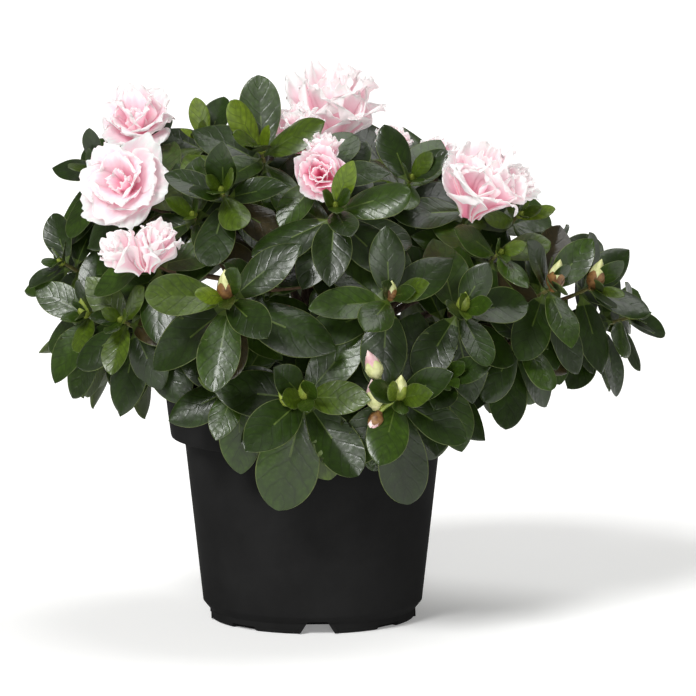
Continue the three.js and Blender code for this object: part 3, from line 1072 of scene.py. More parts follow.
def gaps(one: Array, other: Array) -> Array:
    """Lower bounds of the distances between pairs of triangles, from the widest gap along likely axes.

    Args:
        one: The first triangle of each pair.
        other: The second triangle of each pair.

    Returns:
        A distance for each pair, below zero where they may touch.
    """
    edges_a = np.roll(one, -1, 1) - one
    edges_b = np.roll(other, -1, 1) - other
    face_a = np.cross(edges_a[:, 0], edges_a[:, 1])
    face_b = np.cross(edges_b[:, 0], edges_b[:, 1])
    axes = [face_a[:, None], face_b[:, None]]
    axes.append(np.cross(face_a[:, None], edges_a))
    axes.append(np.cross(face_b[:, None], edges_b))
    axes.append(np.cross(edges_a[:, :, None], edges_b[:, None]).reshape(len(one), 9, 3))
    axes.append((one.mean(1) - other.mean(1))[:, None])
    axis = np.concatenate(axes, 1)
    size = np.linalg.norm(axis, axis=2)
    a = np.einsum("nij,nkj->nik", axis, one)
    b = np.einsum("nij,nkj->nik", axis, other)
    apart = np.maximum(b.min(2) - a.max(2), a.min(2) - b.max(2))
    apart = np.where(size > 1e-6, apart / np.maximum(size, 1e-6), -np.inf)
    return apart.max(1)


class Room:
    """What already stands in the way: padded triangles, each with the shoot that it belongs to."""

    def __init__(self) -> None:
        """Starts with nothing in the way."""
        self.triangles = np.zeros((0, 3, 3))
        self.pads = np.zeros(0)
        self.owners = np.zeros(0, int)
        self.low = np.zeros((0, 3))
        self.high = np.zeros((0, 3))

    def occupy(self, triangles: Array, pad: float, owner: int) -> None:
        """Counts triangles as taken.

        Args:
            triangles: The triangles.
            pad: Half their thickness.
            owner: The number of the shoot that they belong to, or one below zero.
        """
        self.triangles = np.concatenate([self.triangles, triangles])
        self.pads = np.concatenate([self.pads, np.full(len(triangles), pad)])
        self.owners = np.concatenate([self.owners, np.full(len(triangles), owner)])
        self.low = np.concatenate([self.low, triangles.min(1) - pad])
        self.high = np.concatenate([self.high, triangles.max(1) + pad])

    def nearest(self, triangles: Array, pad: float, owner: int, within: float) -> float:
        """The least gap to what is there, both counted with their thickness.

        Args:
            triangles: What is to be placed.
            pad: Half its thickness.
            owner: Whose it is; what belongs to the same owner isn't counted.
            within: The widest gap of interest.

        Returns:
            The gap, or within where it is wider.
        """
        low = triangles.min(1) - pad - within
        high = triangles.max(1) + pad + within
        near = (low[:, None] < self.high[None]).all(2) & (high[:, None] > self.low[None]).all(2)
        mine, theirs = np.nonzero(near & (self.owners != owner)[None])
        if not len(mine):
            return within
        found = gaps(triangles[mine], self.triangles[theirs]) - pad - self.pads[theirs]
        return min(within, float(found.min()))

    def clear(self, triangles: Array, pad: float, owner: int, gap: float = GAP) -> bool:
        """Whether triangles stay a gap clear of everything but their own shoot."""
        return self.nearest(triangles, pad, owner, gap + 1e-6) > gap


def seen(points: Array) -> Array:
    """Where points lie as seen from the front and slightly above: to the right, and height."""
    return np.stack([points[:, 0], points[:, 2] + points[:, 1] * VIEW_RISE], 1)


def line_triangles(points: Array) -> Array:
    """A centre line as thin triangles."""
    return np.stack([points[:-1], points[1:], points[1:]], 1)


def trunk_at(share: float) -> Array:
    """The trunk's centre at a share of its height."""
    lean = share * share
    return np.array([TRUNK.lean_x * lean, TRUNK.lean_y * lean, SOIL.top + GAP + TRUNK.height * share])


POT_OWNER, TRUNK_OWNER, BOUGH_OWNER = -1, -2, -3


class Growth:
    """Grows the shrub by the rule that its solids follow, and then more leaves on each twig."""

    TURNS = ((0, 0), (16, -6), (-16, -6), (32, 8), (-32, 8), (0, -24))

    def __init__(self) -> None:
        """Places the shoots, and grows boughs, twigs and leaves to match the solids."""
        self.room = Room()
        self.count = 0
        self.masses = [
            Mass(name, [self.shoot(FRONT_PIVOT, row, f"{name}.{i}") for i, row in enumerate(rows)])
            for name, rows in MASSES.items()
        ]
        for tier in BACK_TIERS:
            for index in range(tier.count):
                name = f"back_{tier.name}_{index + 1}"
                rows = self.back_rows(tier, index)
                shoots = [self.shoot(BACK_PIVOT, row, f"{name}.{i}") for i, row in enumerate(rows)]
                self.masses.append(Mass(name, shoots))
        self.plan_boughs()
        self.take_room()
        for shoot in self.shoots:
            self.grow_leaves(shoot)

    def shoot(self, pivot: Array, row: ShootRow, name: str) -> Shoot:
        """A shoot that points away from a pivot.

        Args:
            pivot: The pivot.
            row: Its row of numbers.
            name: Its name.

        Returns:
            The shoot, with the next number.
        """
        bearing, reach, height, word, size, turn = row
        tip = polar(bearing, reach, height)
        axis = unit(unit(tip - pivot) + UP * SHOOT_LIFT)
        made = Shoot(self.count, tip, axis, ShootKind(word), size, turn, name)
        self.count += 1
        return made

    @staticmethod
    def back_rows(tier: BackTier, index: int) -> list[ShootRow]:
        """The shoots of a mass behind, in a ring round its middle.

        Args:
            tier: The tier of the mass.
            index: Its number there.

        Returns:
            A row for each shoot.
        """
        bearing = between(tier.start, tier.end, index / (tier.count - 1))
        middle = polar(bearing, tier.reach, tier.height)
        outward, sideways = polar(bearing, 1, 0), polar(bearing + 90, 1, 0)
        rows: list[ShootRow] = []
        for i in range(BACK_SHOOTS):
            turn = (chance(tier.height, index) + i / BACK_SHOOTS) * 2 * math.pi
            place = middle + sideways * BACK_SPREAD * 0.75 * math.cos(turn)
            place = place + UP * BACK_SPREAD * 0.6 * math.sin(turn)
            place = place - outward * BACK_SPREAD * 0.35 * math.sin(turn)
            size = BACK_LEAF * between(0.85, 1.12, chance(tier.height, index, i))
            spin = 360 * chance(tier.height, index, i, 1)
            angle = math.degrees(math.atan2(place[1], place[0]))
            reach = math.hypot(place[0], place[1])
            rows.append((angle, reach, place[2], "leafy" if i else "bud", size, spin))
        return rows

    @staticmethod
    def plan_bough(mass: Mass, share: float, turn: float) -> tuple[Array, ...]:
        """Plans a bough.

        Args:
            mass: The mass that it feeds.
            share: The share of the trunk's height at which it leaves.
            turn: How far it starts off to one side, in degrees.

        Returns:
            The four control points of its centre line.
        """
        middle = mass.middle
        start = trunk_at(share)
        tip = start + (middle - start) * BOUGH.reach_share
        tip[2] += BOUGH.lift * np.linalg.norm(start - middle) * (1 - share)
        length = float(np.linalg.norm(tip - start))
        outward = unit((tip - start) * [1, 1, 0])
        rise = max(0.35, (tip[2] - start[2]) / length)
        spin = np.array(Matrix.Rotation(math.radians(turn), 3, "Z"))
        heading = unit(spin @ outward + UP * rise)
        leaving = start + heading * length * BOUGH.root_lead
        return (start, leaving, tip - unit(middle - tip) * length * BOUGH.tip_lead, tip)

    @staticmethod
    def outside_trunk(points: Array) -> Array:
        """The stretch of a centre line that lies outside the trunk, as thin triangles."""
        beside = np.hypot(points[:, 0], points[:, 1]) > TRUNK.fork_radius - 0.5
        return line_triangles(points[beside | (points[:, 2] > trunk_at(0.85)[2])])

    def clear_bough(self, mass: Mass, share: float) -> tuple[Array, ...]:
        """The bough that passes clear of those already there with the least turn.

        Args:
            mass: The mass that it feeds.
            share: The share of the trunk's height near which it leaves.

        Returns:
            The four control points of its centre line.
        """
        best, best_score = (), -math.inf
        for turn in BOUGH.turns:
            for offset in BOUGH.offsets:
                bough = self.plan_bough(mass, share + offset, turn)
                line = self.outside_trunk(bezier(bough, np.linspace(0, 1, 25)))
                room = self.room.nearest(line, BOUGH.root_radius, BOUGH_OWNER - 1, BOUGH.room)
                score = room - abs(turn) / 200 - abs(offset)
                if score > best_score:
                    best, best_score = bough, score
        return best

    def plan_boughs(self) -> None:
        """Gives every mass its bough, the lowest first."""
        waiting = sorted(self.masses, key=lambda mass: mass.middle[2])
        for count, share in BOUGH.tiers:
            for mass in waiting[:count]:
                mass.bough = self.clear_bough(mass, share)
                line = self.outside_trunk(bezier(mass.bough, np.linspace(0, 1, 41)))
                self.room.occupy(line, BOUGH.root_radius, BOUGH_OWNER)
            waiting = waiting[count:]

    def take_room(self) -> None:
        """Counts the pot, the trunk, the twigs, the buds and the blooms as taken."""
        self.room.occupy(self.pot_panels(), 0.8, POT_OWNER)
        self.room.occupy(line_triangles(np.stack([trunk_at(0), trunk_at(1)])), TRUNK.radius, TRUNK_OWNER)
        for mass in self.masses:
            direction = mass.heading
            mass.hub = mass.bough[3] + direction * (GAP + TWIG.stem)
            for shoot in mass.shoots:
                start = shoot.tip - shoot.axis * TWIG.straight
                length = float(np.linalg.norm(mass.hub - start))
                leaving = mass.hub + direction * length * TWIG.lead
                arriving = start - shoot.axis * length * TWIG.lead
                shoot.bend = (mass.hub, leaving, arriving, start)
                twig = np.concatenate([bezier(shoot.bend, np.linspace(0, 1, TWIG.steps + 1)), [shoot.tip]])
                self.room.occupy(line_triangles(twig), TWIG.root_radius, shoot.number)
                if shoot.kind is ShootKind.BUD:
                    line = np.stack([shoot.tip, shoot.tip + shoot.axis * BUD.length * 0.8])
                    self.room.occupy(line_triangles(line), BUD.radius, shoot.number)
                if shoot.kind is ShootKind.BLOOM:
                    self.take_bloom_room(shoot)

    def take_bloom_room(self, shoot: Shoot) -> None:
        """Counts the two whorls of a bloom as taken.

        Args:
            shoot: The shoot that bears it.
        """
        for open_angle, size, lift in BLOOM.whorls:
            turn = np.arange(BLOOM.corners) * 2 * math.pi / BLOOM.corners
            lobe = np.minimum(1, 1.5 * np.abs(np.sin(turn / 2 * BLOOM.petals)))
            spin = turn + 2 * math.pi * chance(shoot.number, 50, open_angle)
            reach = shoot.size * BLOOM.reach * size * (0.8 + 0.2 * lobe)
            opened = np.radians(open_angle + 9 * np.cos(turn * 2 + open_angle))
            rim = shoot.place(lift + reach * np.cos(opened), reach * np.sin(opened), spin)
            heart = np.broadcast_to(shoot.place(lift, 0, 0), rim.shape)
            triangles = np.stack([heart, rim, np.roll(rim, -1, 0)], 1)
            self.room.occupy(triangles, BLOOM.thickness / 2, shoot.number)

    @staticmethod
    def pot_panels() -> Array:
        """The pot's outside, in twenty panels for each of its bands.

        Returns:
            The panels as triangles.
        """
        bands = (
            (POT.rim_radius, POT.height, POT.rim_radius, POT.height - POT.lip_height),
            (POT.collar_top, POT.height - POT.lip_height, POT.collar_foot, POT.step),
            (POT.body_top, POT.step, POT.body_foot, POT.chamfer_top),
        )
        panels = []
        for top_radius, top, foot_radius, foot in bands:
            for i in range(20):
                here, there = i * 18.0, (i + 1) * 18.0
                left_top, right_top = polar(here, top_radius, top), polar(there, top_radius, top)
                right_foot, left_foot = polar(there, foot_radius, foot), polar(here, foot_radius, foot)
                panels += [[left_top, right_top, right_foot], [left_top, right_foot, left_foot]]
        return np.array(panels)

    @staticmethod
    def blade_on(
        shoot: Shoot, back: float, turn: float, open_angle: float, droop: float, **sizes: float
    ) -> Blade:
        """A blade on a shoot.

        Args:
            shoot: The shoot.
            back: How far behind its tip.
            turn: How far it is turned round the shoot's axis, in degrees.
            open_angle: How far it opens away from the axis, in degrees.
            droop: How much it hangs.
            sizes: Its own sizes and numbers.

        Returns:
            The blade.
        """
        angle, opened = math.radians(turn), math.radians(open_angle)
        around = shoot.across * math.cos(angle) + shoot.upward * math.sin(angle)
        line = unit(shoot.axis * math.cos(opened) + around * math.sin(opened) - UP * droop)
        normal = shoot.axis * math.sin(opened) - around * math.cos(opened) + UP * 0.3
        normal = unit(normal - line * normal.dot(line))
        return Blade(shoot.tip - shoot.axis * back, line, normal, np.cross(line, normal), **sizes)

    def grow_leaves(self, shoot: Shoot) -> None:
        """The leaves that the solids have, outermost first, each turned or left out where it would touch.

        Args:
            shoot: The shoot that gets them.
        """
        leaves = shoot.kind.leaves
        longest = LEAF.under_bloom if shoot.kind is ShootKind.BLOOM else shoot.size
        key = shoot.number
        for i in range(leaves):
            age = 1 - i / (leaves - 1)
            length = longest * between(LEAF.youngest, 1, age**0.6) * between(0.88, 1.06, chance(key, 2, i))
            sizes = {
                "length": length,
                "half_width": LEAF.half_width * between(0.92, 1.15, chance(key, 3, i)) * length,
                "curl": between(0.02, 0.2, chance(key, 4, i)),
                "fold": between(-0.3, 0.25, chance(key, 5, i)),
                "age": age,
                "number": i,
            }
            droop = between(0.02, 0.25, chance(key, 6, i)) * age
            opening = between(LEAF.open_from, LEAF.open_to, age**0.7) - shoot.kind.upright
            for turned, opened in self.TURNS:
                blade = self.blade_on(
                    shoot,
                    1.2 + LEAF.spacing * (leaves - 1 - i),
                    shoot.turn + LEAF.golden_angle * i + turned,
                    opening + opened,
                    droop,
                    **sizes,
                )
                triangles = blade.triangles()
                if self.room.clear(triangles, LEAF.thickness / 2, key):
                    self.room.occupy(triangles, LEAF.thickness / 2, key)
                    shoot.leaves.append(blade)
                    break

    def grow_more(self) -> int:
        """More leaves lower on each twig, and small ones at its tip.

        Returns:
            How many leaves were added.
        """
        before = self.leaf_count
        for shoot in self.shoots:
            key = shoot.number
            for i in range(MORE.older):
                back = MORE.older_back + MORE.older_spacing * i
                turn = MORE.older_turn + 137.5 * i + 90 * chance(key, 21)
                length = MORE.older_length * between(0.8, 1.05, chance(key, 20, i))
                self.try_leaf(shoot, back, turn, MORE.older_open, length, MORE.older_from + i)
            for i in range(0 if shoot.kind is ShootKind.BLOOM else MORE.young):
                turn = MORE.young_turn + 120 * i + 360 * chance(key, 23)
                length = shoot.size * between(0.3, 0.48, chance(key, 22, i))
                self.try_leaf(shoot, MORE.young_back, turn, MORE.young_open, length, MORE.young_from + i)
        return self.leaf_count - before

    def try_leaf(
        self, shoot: Shoot, back: float, turn: float, opening: float, length: float, number: int
    ) -> None:
        """Adds one more leaf where it touches nothing.

        Args:
            shoot: The shoot that gets it.
            back: How far behind its tip.
            turn: How far it is turned round the shoot's axis, in degrees.
            opening: How far it opens away from the axis, in degrees.
            length: Its length.
            number: Its number on the shoot.
        """
        key = shoot.number
        for turned in MORE.turns:
            blade = self.blade_on(
                shoot,
                back,
                turn + turned,
                opening + 10 * (chance(key, number, 3) - 0.5),
                MORE.droop,
                length=length,
                half_width=LEAF.half_width * length,
                curl=between(0.02, 0.16, chance(key, number, 1)),
                fold=between(-0.3, 0.2, chance(key, number, 2)),
                age=1.0 if number < MORE.young_from else 0.0,
                number=number,
            )
            triangles = blade.triangles()
            if self.room.clear(triangles, MORE.pad, key, MORE.gap):
                self.room.occupy(triangles, MORE.pad, key)
                shoot.leaves.append(blade)
                return

    def thin(self, keeps: Callable[[Blade], bool]) -> int:
        """Takes out the leaves that a test turns down.

        Args:
            keeps: The test.

        Returns:
            How many were taken out.
        """
        before = self.leaf_count
        for shoot in self.shoots:
            shoot.leaves = [blade for blade in shoot.leaves if keeps(blade)]
        return before - self.leaf_count

    def clear_blooms(self, looks: dict[str, Sequence["BloomLook"]]) -> int:
        """Takes out the leaves that would reach into a bloom's cup.

        Args:
            looks: The blooms of each shoot, by its name.

        Returns:
            How many leaves were taken out.
        """
        cups = []
        for shoot in self.shoots:
            for look in looks.get(shoot.name, ()):
                reach = shoot.size * BLOOM.reach * look.size
                cups.append((look.seat(shoot).place(0.55 * reach, 0, 0), 0.62 * reach))

        def outside(blade: Blade) -> bool:
            """Whether a blade stays out of every cup."""
            points = blade.net(0.8, 3)
            return all(np.linalg.norm(points - middle, axis=1).min() > radius for middle, radius in cups)

        return self.thin(outside)

    def open_gaps(self) -> int:
        """Takes out the leaves that would cover a gap in the crown.

        Returns:
            How many were taken out.
        """

        def beside(blade: Blade) -> bool:
            """Whether a blade leaves every gap open."""
            places = seen(blade.net(0.9, 5))
            return not any((np.hypot(*(places - [x, z]).T) < radius).any() for x, z, radius in SKY_GAPS)

        return self.thin(beside)

    @property
    def shoots(self) -> Iterable[Shoot]:
        """All shoots."""
        return (shoot for mass in self.masses for shoot in mass.shoots)

    @property
    def leaf_count(self) -> int:
        """The number of leaves on all shoots."""
        return sum(len(shoot.leaves) for shoot in self.shoots)


# ---- leaves
@dataclass(frozen=True)
class TintSpot:
    """A place on the plant, in millimetres, whose nearest leaf has its own tone."""

    x: float
    z: float
    tone: LeafTone

    def distance(self, place: Array) -> float:
        """How far off a place seems, where those in front of the trunk seem nearer."""
        return math.hypot(place[0] - self.x, place[2] - self.z) + 0.5 * max(0, place[1] + 40)


TINT_SPOTS = (
    TintSpot(-12, 166, LeafTone.BRONZE),
    TintSpot(-63, 128, LeafTone.BRONZE),
    TintSpot(-79, 137, LeafTone.OLIVE),
    TintSpot(-52, 134, LeafTone.OLIVE),
    TintSpot(16, 178, LeafTone.YOUNG),
    TintSpot(86, 160, LeafTone.OLIVE),
)


class LeafPart(IntEnum):
    """The parts of a leaf that have a finish each, by its number."""

    FACE = 0
    MIDRIB = 1
    EDGE = 2
    UNDERSIDE = 3


class LeafMaker:
    """Turns blades into leaves with a midrib, quilted veins, a pale edge and a paler underside."""

    ROWS = 19
    SIDES = np.array([-1, -0.965, -0.72, -0.42, -0.17, -0.04, 0.04, 0.17, 0.42, 0.72, 0.965, 1.0])
    UNDER_SIDES = np.array([-1, -0.5, 0, 0.5, 1.0])
    THICKNESS = 0.36
    VEINS = 6.5
    VEIN_SLANT = 0.27
    RIB_ROWS = 7
    STALK_ROWS = 2

    def __init__(self) -> None:
        """Works out the faces that all leaves share."""
        along = np.linspace(0, 1, self.ROWS)
        self.share = 0.45 * along + 0.55 * (1 - (1 - along) ** 2)
        self.share[-1] = 0.998
        columns, under_columns = len(self.SIDES), len(self.UNDER_SIDES)
        self.top_faces = grid_faces(self.ROWS, columns)
        strips = np.tile(np.arange(columns - 1), self.ROWS - 1)
        row = np.repeat(np.arange(self.ROWS - 1), columns - 1)
        last = columns - 2
        self.top_kinds = np.where((strips == 0) | (strips == last), LeafPart.EDGE, LeafPart.FACE)
        middle = (strips == last // 2) & (row < self.RIB_ROWS)
        self.top_kinds[middle | (row < self.STALK_ROWS)] = LeafPart.MIDRIB
        # The underside shares the corners of the upper face's edges.
        inner = np.arange(self.ROWS * (under_columns - 2)).reshape(self.ROWS, -1) + self.ROWS * columns
        edge = np.arange(self.ROWS)[:, None] * columns
        numbering = np.concatenate([edge, inner, edge + columns - 1], 1).ravel()
        self.under_faces = numbering[grid_faces(self.ROWS, under_columns, flipped=True)]
        top = np.stack(np.broadcast_arrays(self.SIDES[None, :], self.share[:, None]), -1).reshape(-1, 2)
        low = np.stack(np.broadcast_arrays(self.UNDER_SIDES[None, 1:-1], self.share[:, None]), -1)
        self.spots = (np.concatenate([top, low.reshape(-1, 2)]) + [1.0, 0.0]) * [0.5, 1.0]

    def half_width(self, blade: Blade, key: int, share: Array) -> Array:
        """Half the leaf's width, which narrows to a stalk at its foot and to a more or less blunt tip.

        Args:
            blade: The leaf.
            key: Its number in the whole plant.
            share: How far along it, from foot to tip.

        Returns:
            The half width at each share.
        """
        point = between(0.55, 0.95, chance(key, 8))
        widest = 1 / (1 + point)
        body = (share / widest) * (np.clip(1 - share, 0, 1) / (1 - widest)) ** point
        stalk = smoothstep(0.0, 0.16, share)
        return np.maximum(0.42 * (1 - share), blade.half_width * body * stalk)

    def surface(self, blade: Blade, key: int, share: Array, side: Array, quilted: bool) -> Array:
        """Points of the leaf's surface.

        Args:
            blade: The leaf.
            key: Its number in the whole plant.
            share: How far along it, from foot to tip.
            side: How far across it, from -1 to 1.
            quilted: Whether it swells between its veins and sinks along its midrib.

        Returns:
            The points.
        """
        half = self.half_width(blade, key, share)
        size = blade.length / 36
        reach = np.abs(side)
        sunk = blade.curl * blade.length * share**2 + blade.fold * half * side**2
        wave = 0.5 * size * side**2 * np.sin(2 * math.pi * (1.4 * share + chance(key, 1)) + 2 * side)
        height = wave * np.sin(math.pi * share)
        if quilted:
            along = self.VEINS * (share - self.VEIN_SLANT * reach) - 0.15
            body = smoothstep(0.08, 0.22, share) * smoothstep(1.0, 0.85, share)
            quilt = 0.14 * size * body * (1 - reach**4) * np.cos(2 * math.pi * along)
            height = height + quilt * np.minimum(1, reach / 0.3)
            groove = 0.5 * size * np.exp(-((side / 0.14) ** 2))
            height = height - groove * smoothstep(0.05, 0.2, share) * (1 - share)
        return blade.lay(share, side * half, height - sunk)

    def add(self, piece: Piece, blade: Blade, key: int) -> None:
        """Adds one leaf.

        Args:
            piece: A piece with a material for each part of a leaf.
            blade: The leaf.
            key: Its number in the whole plant.
        """
        share, side = np.broadcast_arrays(self.share[:, None], self.SIDES[None, :])
        top = self.surface(blade, key, share, side, True)
        rise = self.THICKNESS / 2 * (1 - np.abs(side) ** 6)
        top = top + rise[..., None] * blade.normal
        share, side = np.broadcast_arrays(self.share[:, None], self.UNDER_SIDES[None, 1:-1])
        under = self.surface(blade, key, share, side, False) - self.THICKNESS / 2 * blade.normal
        under = under - 0.35 * np.exp(-((side / 0.2) ** 2))[..., None] * blade.normal
        points = np.concatenate([top.reshape(-1, 3), under.reshape(-1, 3)])
        faces = np.concatenate([self.top_faces, self.under_faces])
        kinds = np.concatenate([self.top_kinds, np.full(len(self.under_faces), LeafPart.UNDERSIDE)])
        piece.add(points, faces, kinds, spots=self.spots)


@dataclass
class Dressing:
    """Looks that follow the growth and stand for some of the solids' nodes."""

    growth: Growth
    nodes: Sequence[str]


@dataclass
class Foliage(Dressing):
    """All the leaves, in pieces by tone and side, and the twigs that bear them.

    Young leaves are narrower than grown ones, and shoots past a plane hold the leaves in front.
    """

    young_width: float = 0.82
    front_plane: float = -20.0

    def tones(self) -> dict[int, LeafTone]:
        """Deals the tones by shoot and age, and sets them at the tint spots.

        Returns:
            The tone of each leaf, by its identity.
        """
        tones: dict[int, LeafTone] = {}
        centres: list[tuple[Array, int]] = []
        for shoot in self.growth.shoots:
            for leaf in shoot.leaves:
                draw = chance(shoot.number, 70, leaf.number)
                tone = LeafTone.DEEP if draw < 0.62 else LeafTone.GREEN
                if draw > 0.93:
                    tone = LeafTone.OLIVE
                if leaf.number >= MORE.young_from:
                    tone = LeafTone.YOUNG if draw < 0.1 else LeafTone.OLIVE if draw < 0.4 else LeafTone.GREEN
                if shoot.kind is ShootKind.YOUNG and leaf.number >= 4:
                    tone = LeafTone.YOUNG if leaf.number % 2 else LeafTone.OLIVE
                if draw < 0.05 and leaf.age > 0.5:
                    tone = LeafTone.BRONZE
                tones[id(leaf)] = tone
                if leaf.number < MORE.older_from:
                    centres.append((leaf.point(0.6, 0.0), id(leaf)))
        for spot in TINT_SPOTS:
            tones[min((spot.distance(place), key) for place, key in centres)[1]] = spot.tone
        return tones

    def build(self) -> None:
        """Makes the leaves and the twigs."""
        midrib = PlainFinish("leaf midrib", "#4a5c1c", "#344512", 0.45).build()
        edge = PlainFinish("leaf edge, fine pale hairs", "#5f6c34", "#424d22", 0.6).build()
        under = PlainFinish("leaf underside, matt pale green", "#4d5c28", "#3a481c", 0.65, 6.0).build()
        finishes = {tone: tone.value.build() for tone in LeafTone}
        maker = LeafMaker()
        pieces: dict[tuple[LeafTone, str], Piece] = {}
        tones = self.tones()
        for shoot in self.growth.shoots:
            side = "front" if shoot.tip[1] < self.front_plane else "back"
            for leaf in shoot.leaves:
                tone = tones[id(leaf)]
                if tone is LeafTone.YOUNG:
                    leaf.half_width *= self.young_width
                key = (tone, side)
                if key not in pieces:
                    name = f"leaves_{tone.name.lower()}_{side}"
                    pieces[key] = Piece(name, [finishes[tone], midrib, edge, under])
                maker.add(pieces[key], leaf, shoot.number * 100 + leaf.number)
        for piece in pieces.values():
            piece.make("foliage", *self.nodes)
        self.build_twigs()

    def build_twigs(self) -> None:
        """The stems and twigs, brown below and green where they are young."""
        old = PlainFinish("twig bark, brown", "#6a5238", "#4a3826", 0.75, 1.5).build()
        green = PlainFinish("young twig skin", "#6c6c38", "#57502f", 0.6, 1.5).build()
        piece = Piece("twigs", [old, green])
        for mass in self.growth.masses:
            stem = mass.bough[3] + mass.heading * np.array([-0.4, 2, 4, GAP + TWIG.stem + 1])[:, None]
            piece.add(*tube(stem, np.array(TWIG.stem_radii), TWIG.sides))
            for shoot in mass.shoots:
                bend = bezier(shoot.bend, np.linspace(0, 1, 14))
                straight = shoot.tip + shoot.axis * np.linspace(-TWIG.straight, 0.6, 7)[1:, None]
                line = np.concatenate([bend, straight])
                radii = np.linspace(TWIG.skin_root, TWIG.skin_tip, len(line))
                radii = radii + TWIG.knots * np.sin(np.arange(len(line)) * 2.1)
                corners, faces = tube(line, radii, TWIG.sides)
                ring, (low, high) = faces[:, 0] // TWIG.sides, TWIG.green_rings
                piece.add(corners, faces, np.where((ring > low) & (ring < high), 1, 0))
        piece.make("bark", *self.nodes)


# ---- blooms
@dataclass(frozen=True)
class Whorl:
    """A ring of petals: how many, how far they open, their size, their place on the axis and their shape."""

    count: int
    opening: float
    size: float
    lift: float
    width: float = 0.56
    frill: float = 0.035
    curve: float = 0.5


class BloomForm(Enum):
    """How far a bloom has opened."""

    OPEN = (
        Whorl(5, 62, 1.0, -1.2, 0.62, 0.03, 0.75),
        Whorl(5, 46, 0.97, -0.2, 0.6, 0.03, 0.5),
        Whorl(4, 28, 0.88, 0.6, 0.54, 0.035, 0.3),
        Whorl(3, 12, 0.62, 1.2, 0.42, 0.05, 0.2),
    )
    CUPPED = (
        Whorl(5, 54, 0.9, -1.2, 0.66, 0.035, 0.8),
        Whorl(5, 36, 1.0, -0.2, 0.6, 0.035, 0.5),
        Whorl(3, 18, 0.95, 0.6, 0.5, 0.04, 0.2),
        Whorl(3, 8, 0.6, 1.2, 0.38, 0.05, 0.2),
    )
    ROSE = (
        Whorl(5, 44, 1.0, -1.2, 0.66, 0.02, 0.7),
        Whorl(4, 28, 0.98, -0.2, 0.64, 0.02, 0.2),
        Whorl(3, 16, 0.92, 0.6, 0.56, 0.025, -0.2),
        Whorl(3, 7, 0.8, 1.0, 0.4, 0.03, -0.4),
    )
    GOBLET = (
        Whorl(4, 38, 0.88, -1.0, 0.68, 0.03, 0.7),
        Whorl(4, 28, 1.0, -0.2, 0.64, 0.035, 0.5),
        Whorl(4, 17, 1.05, 0.4, 0.5, 0.04, 0.4),
        Whorl(2, 8, 0.98, 1.0, 0.36, 0.05, 0.2),
    )
    HALF_OPEN = (
        Whorl(3, 23, 1.0, -0.4, 0.56, 0.03, 0.4),
        Whorl(3, 15, 1.0, 0.2, 0.48, 0.035, 0.3),
        Whorl(2, 7, 0.95, 0.5, 0.36, 0.05, 0.1),
    )

    @property
    def whorls(self) -> tuple[Whorl, ...]:
        """Its whorls, outermost first."""
        return self.value


@dataclass(frozen=True)
class BloomLook:
    """One bloom on a shoot: its form, how pink it is, and its own stance.

    The stance is a direction to face, a shift of the heart from the twig's end in millimetres, and a size as
    a share of the shoot's.
    """

    form: BloomForm
    depth: float
    facing: Triple | None = None
    shift: Triple = (0.0, 0.0, 0.0)
    size: float = 1.0

    def seat(self, shoot: Shoot) -> Shoot:
        """The shoot moved and turned to bear this bloom."""
        axis = unit(np.array(self.facing)) if self.facing else shoot.axis
        return replace(shoot, axis=axis, tip=shoot.tip + self.shift)


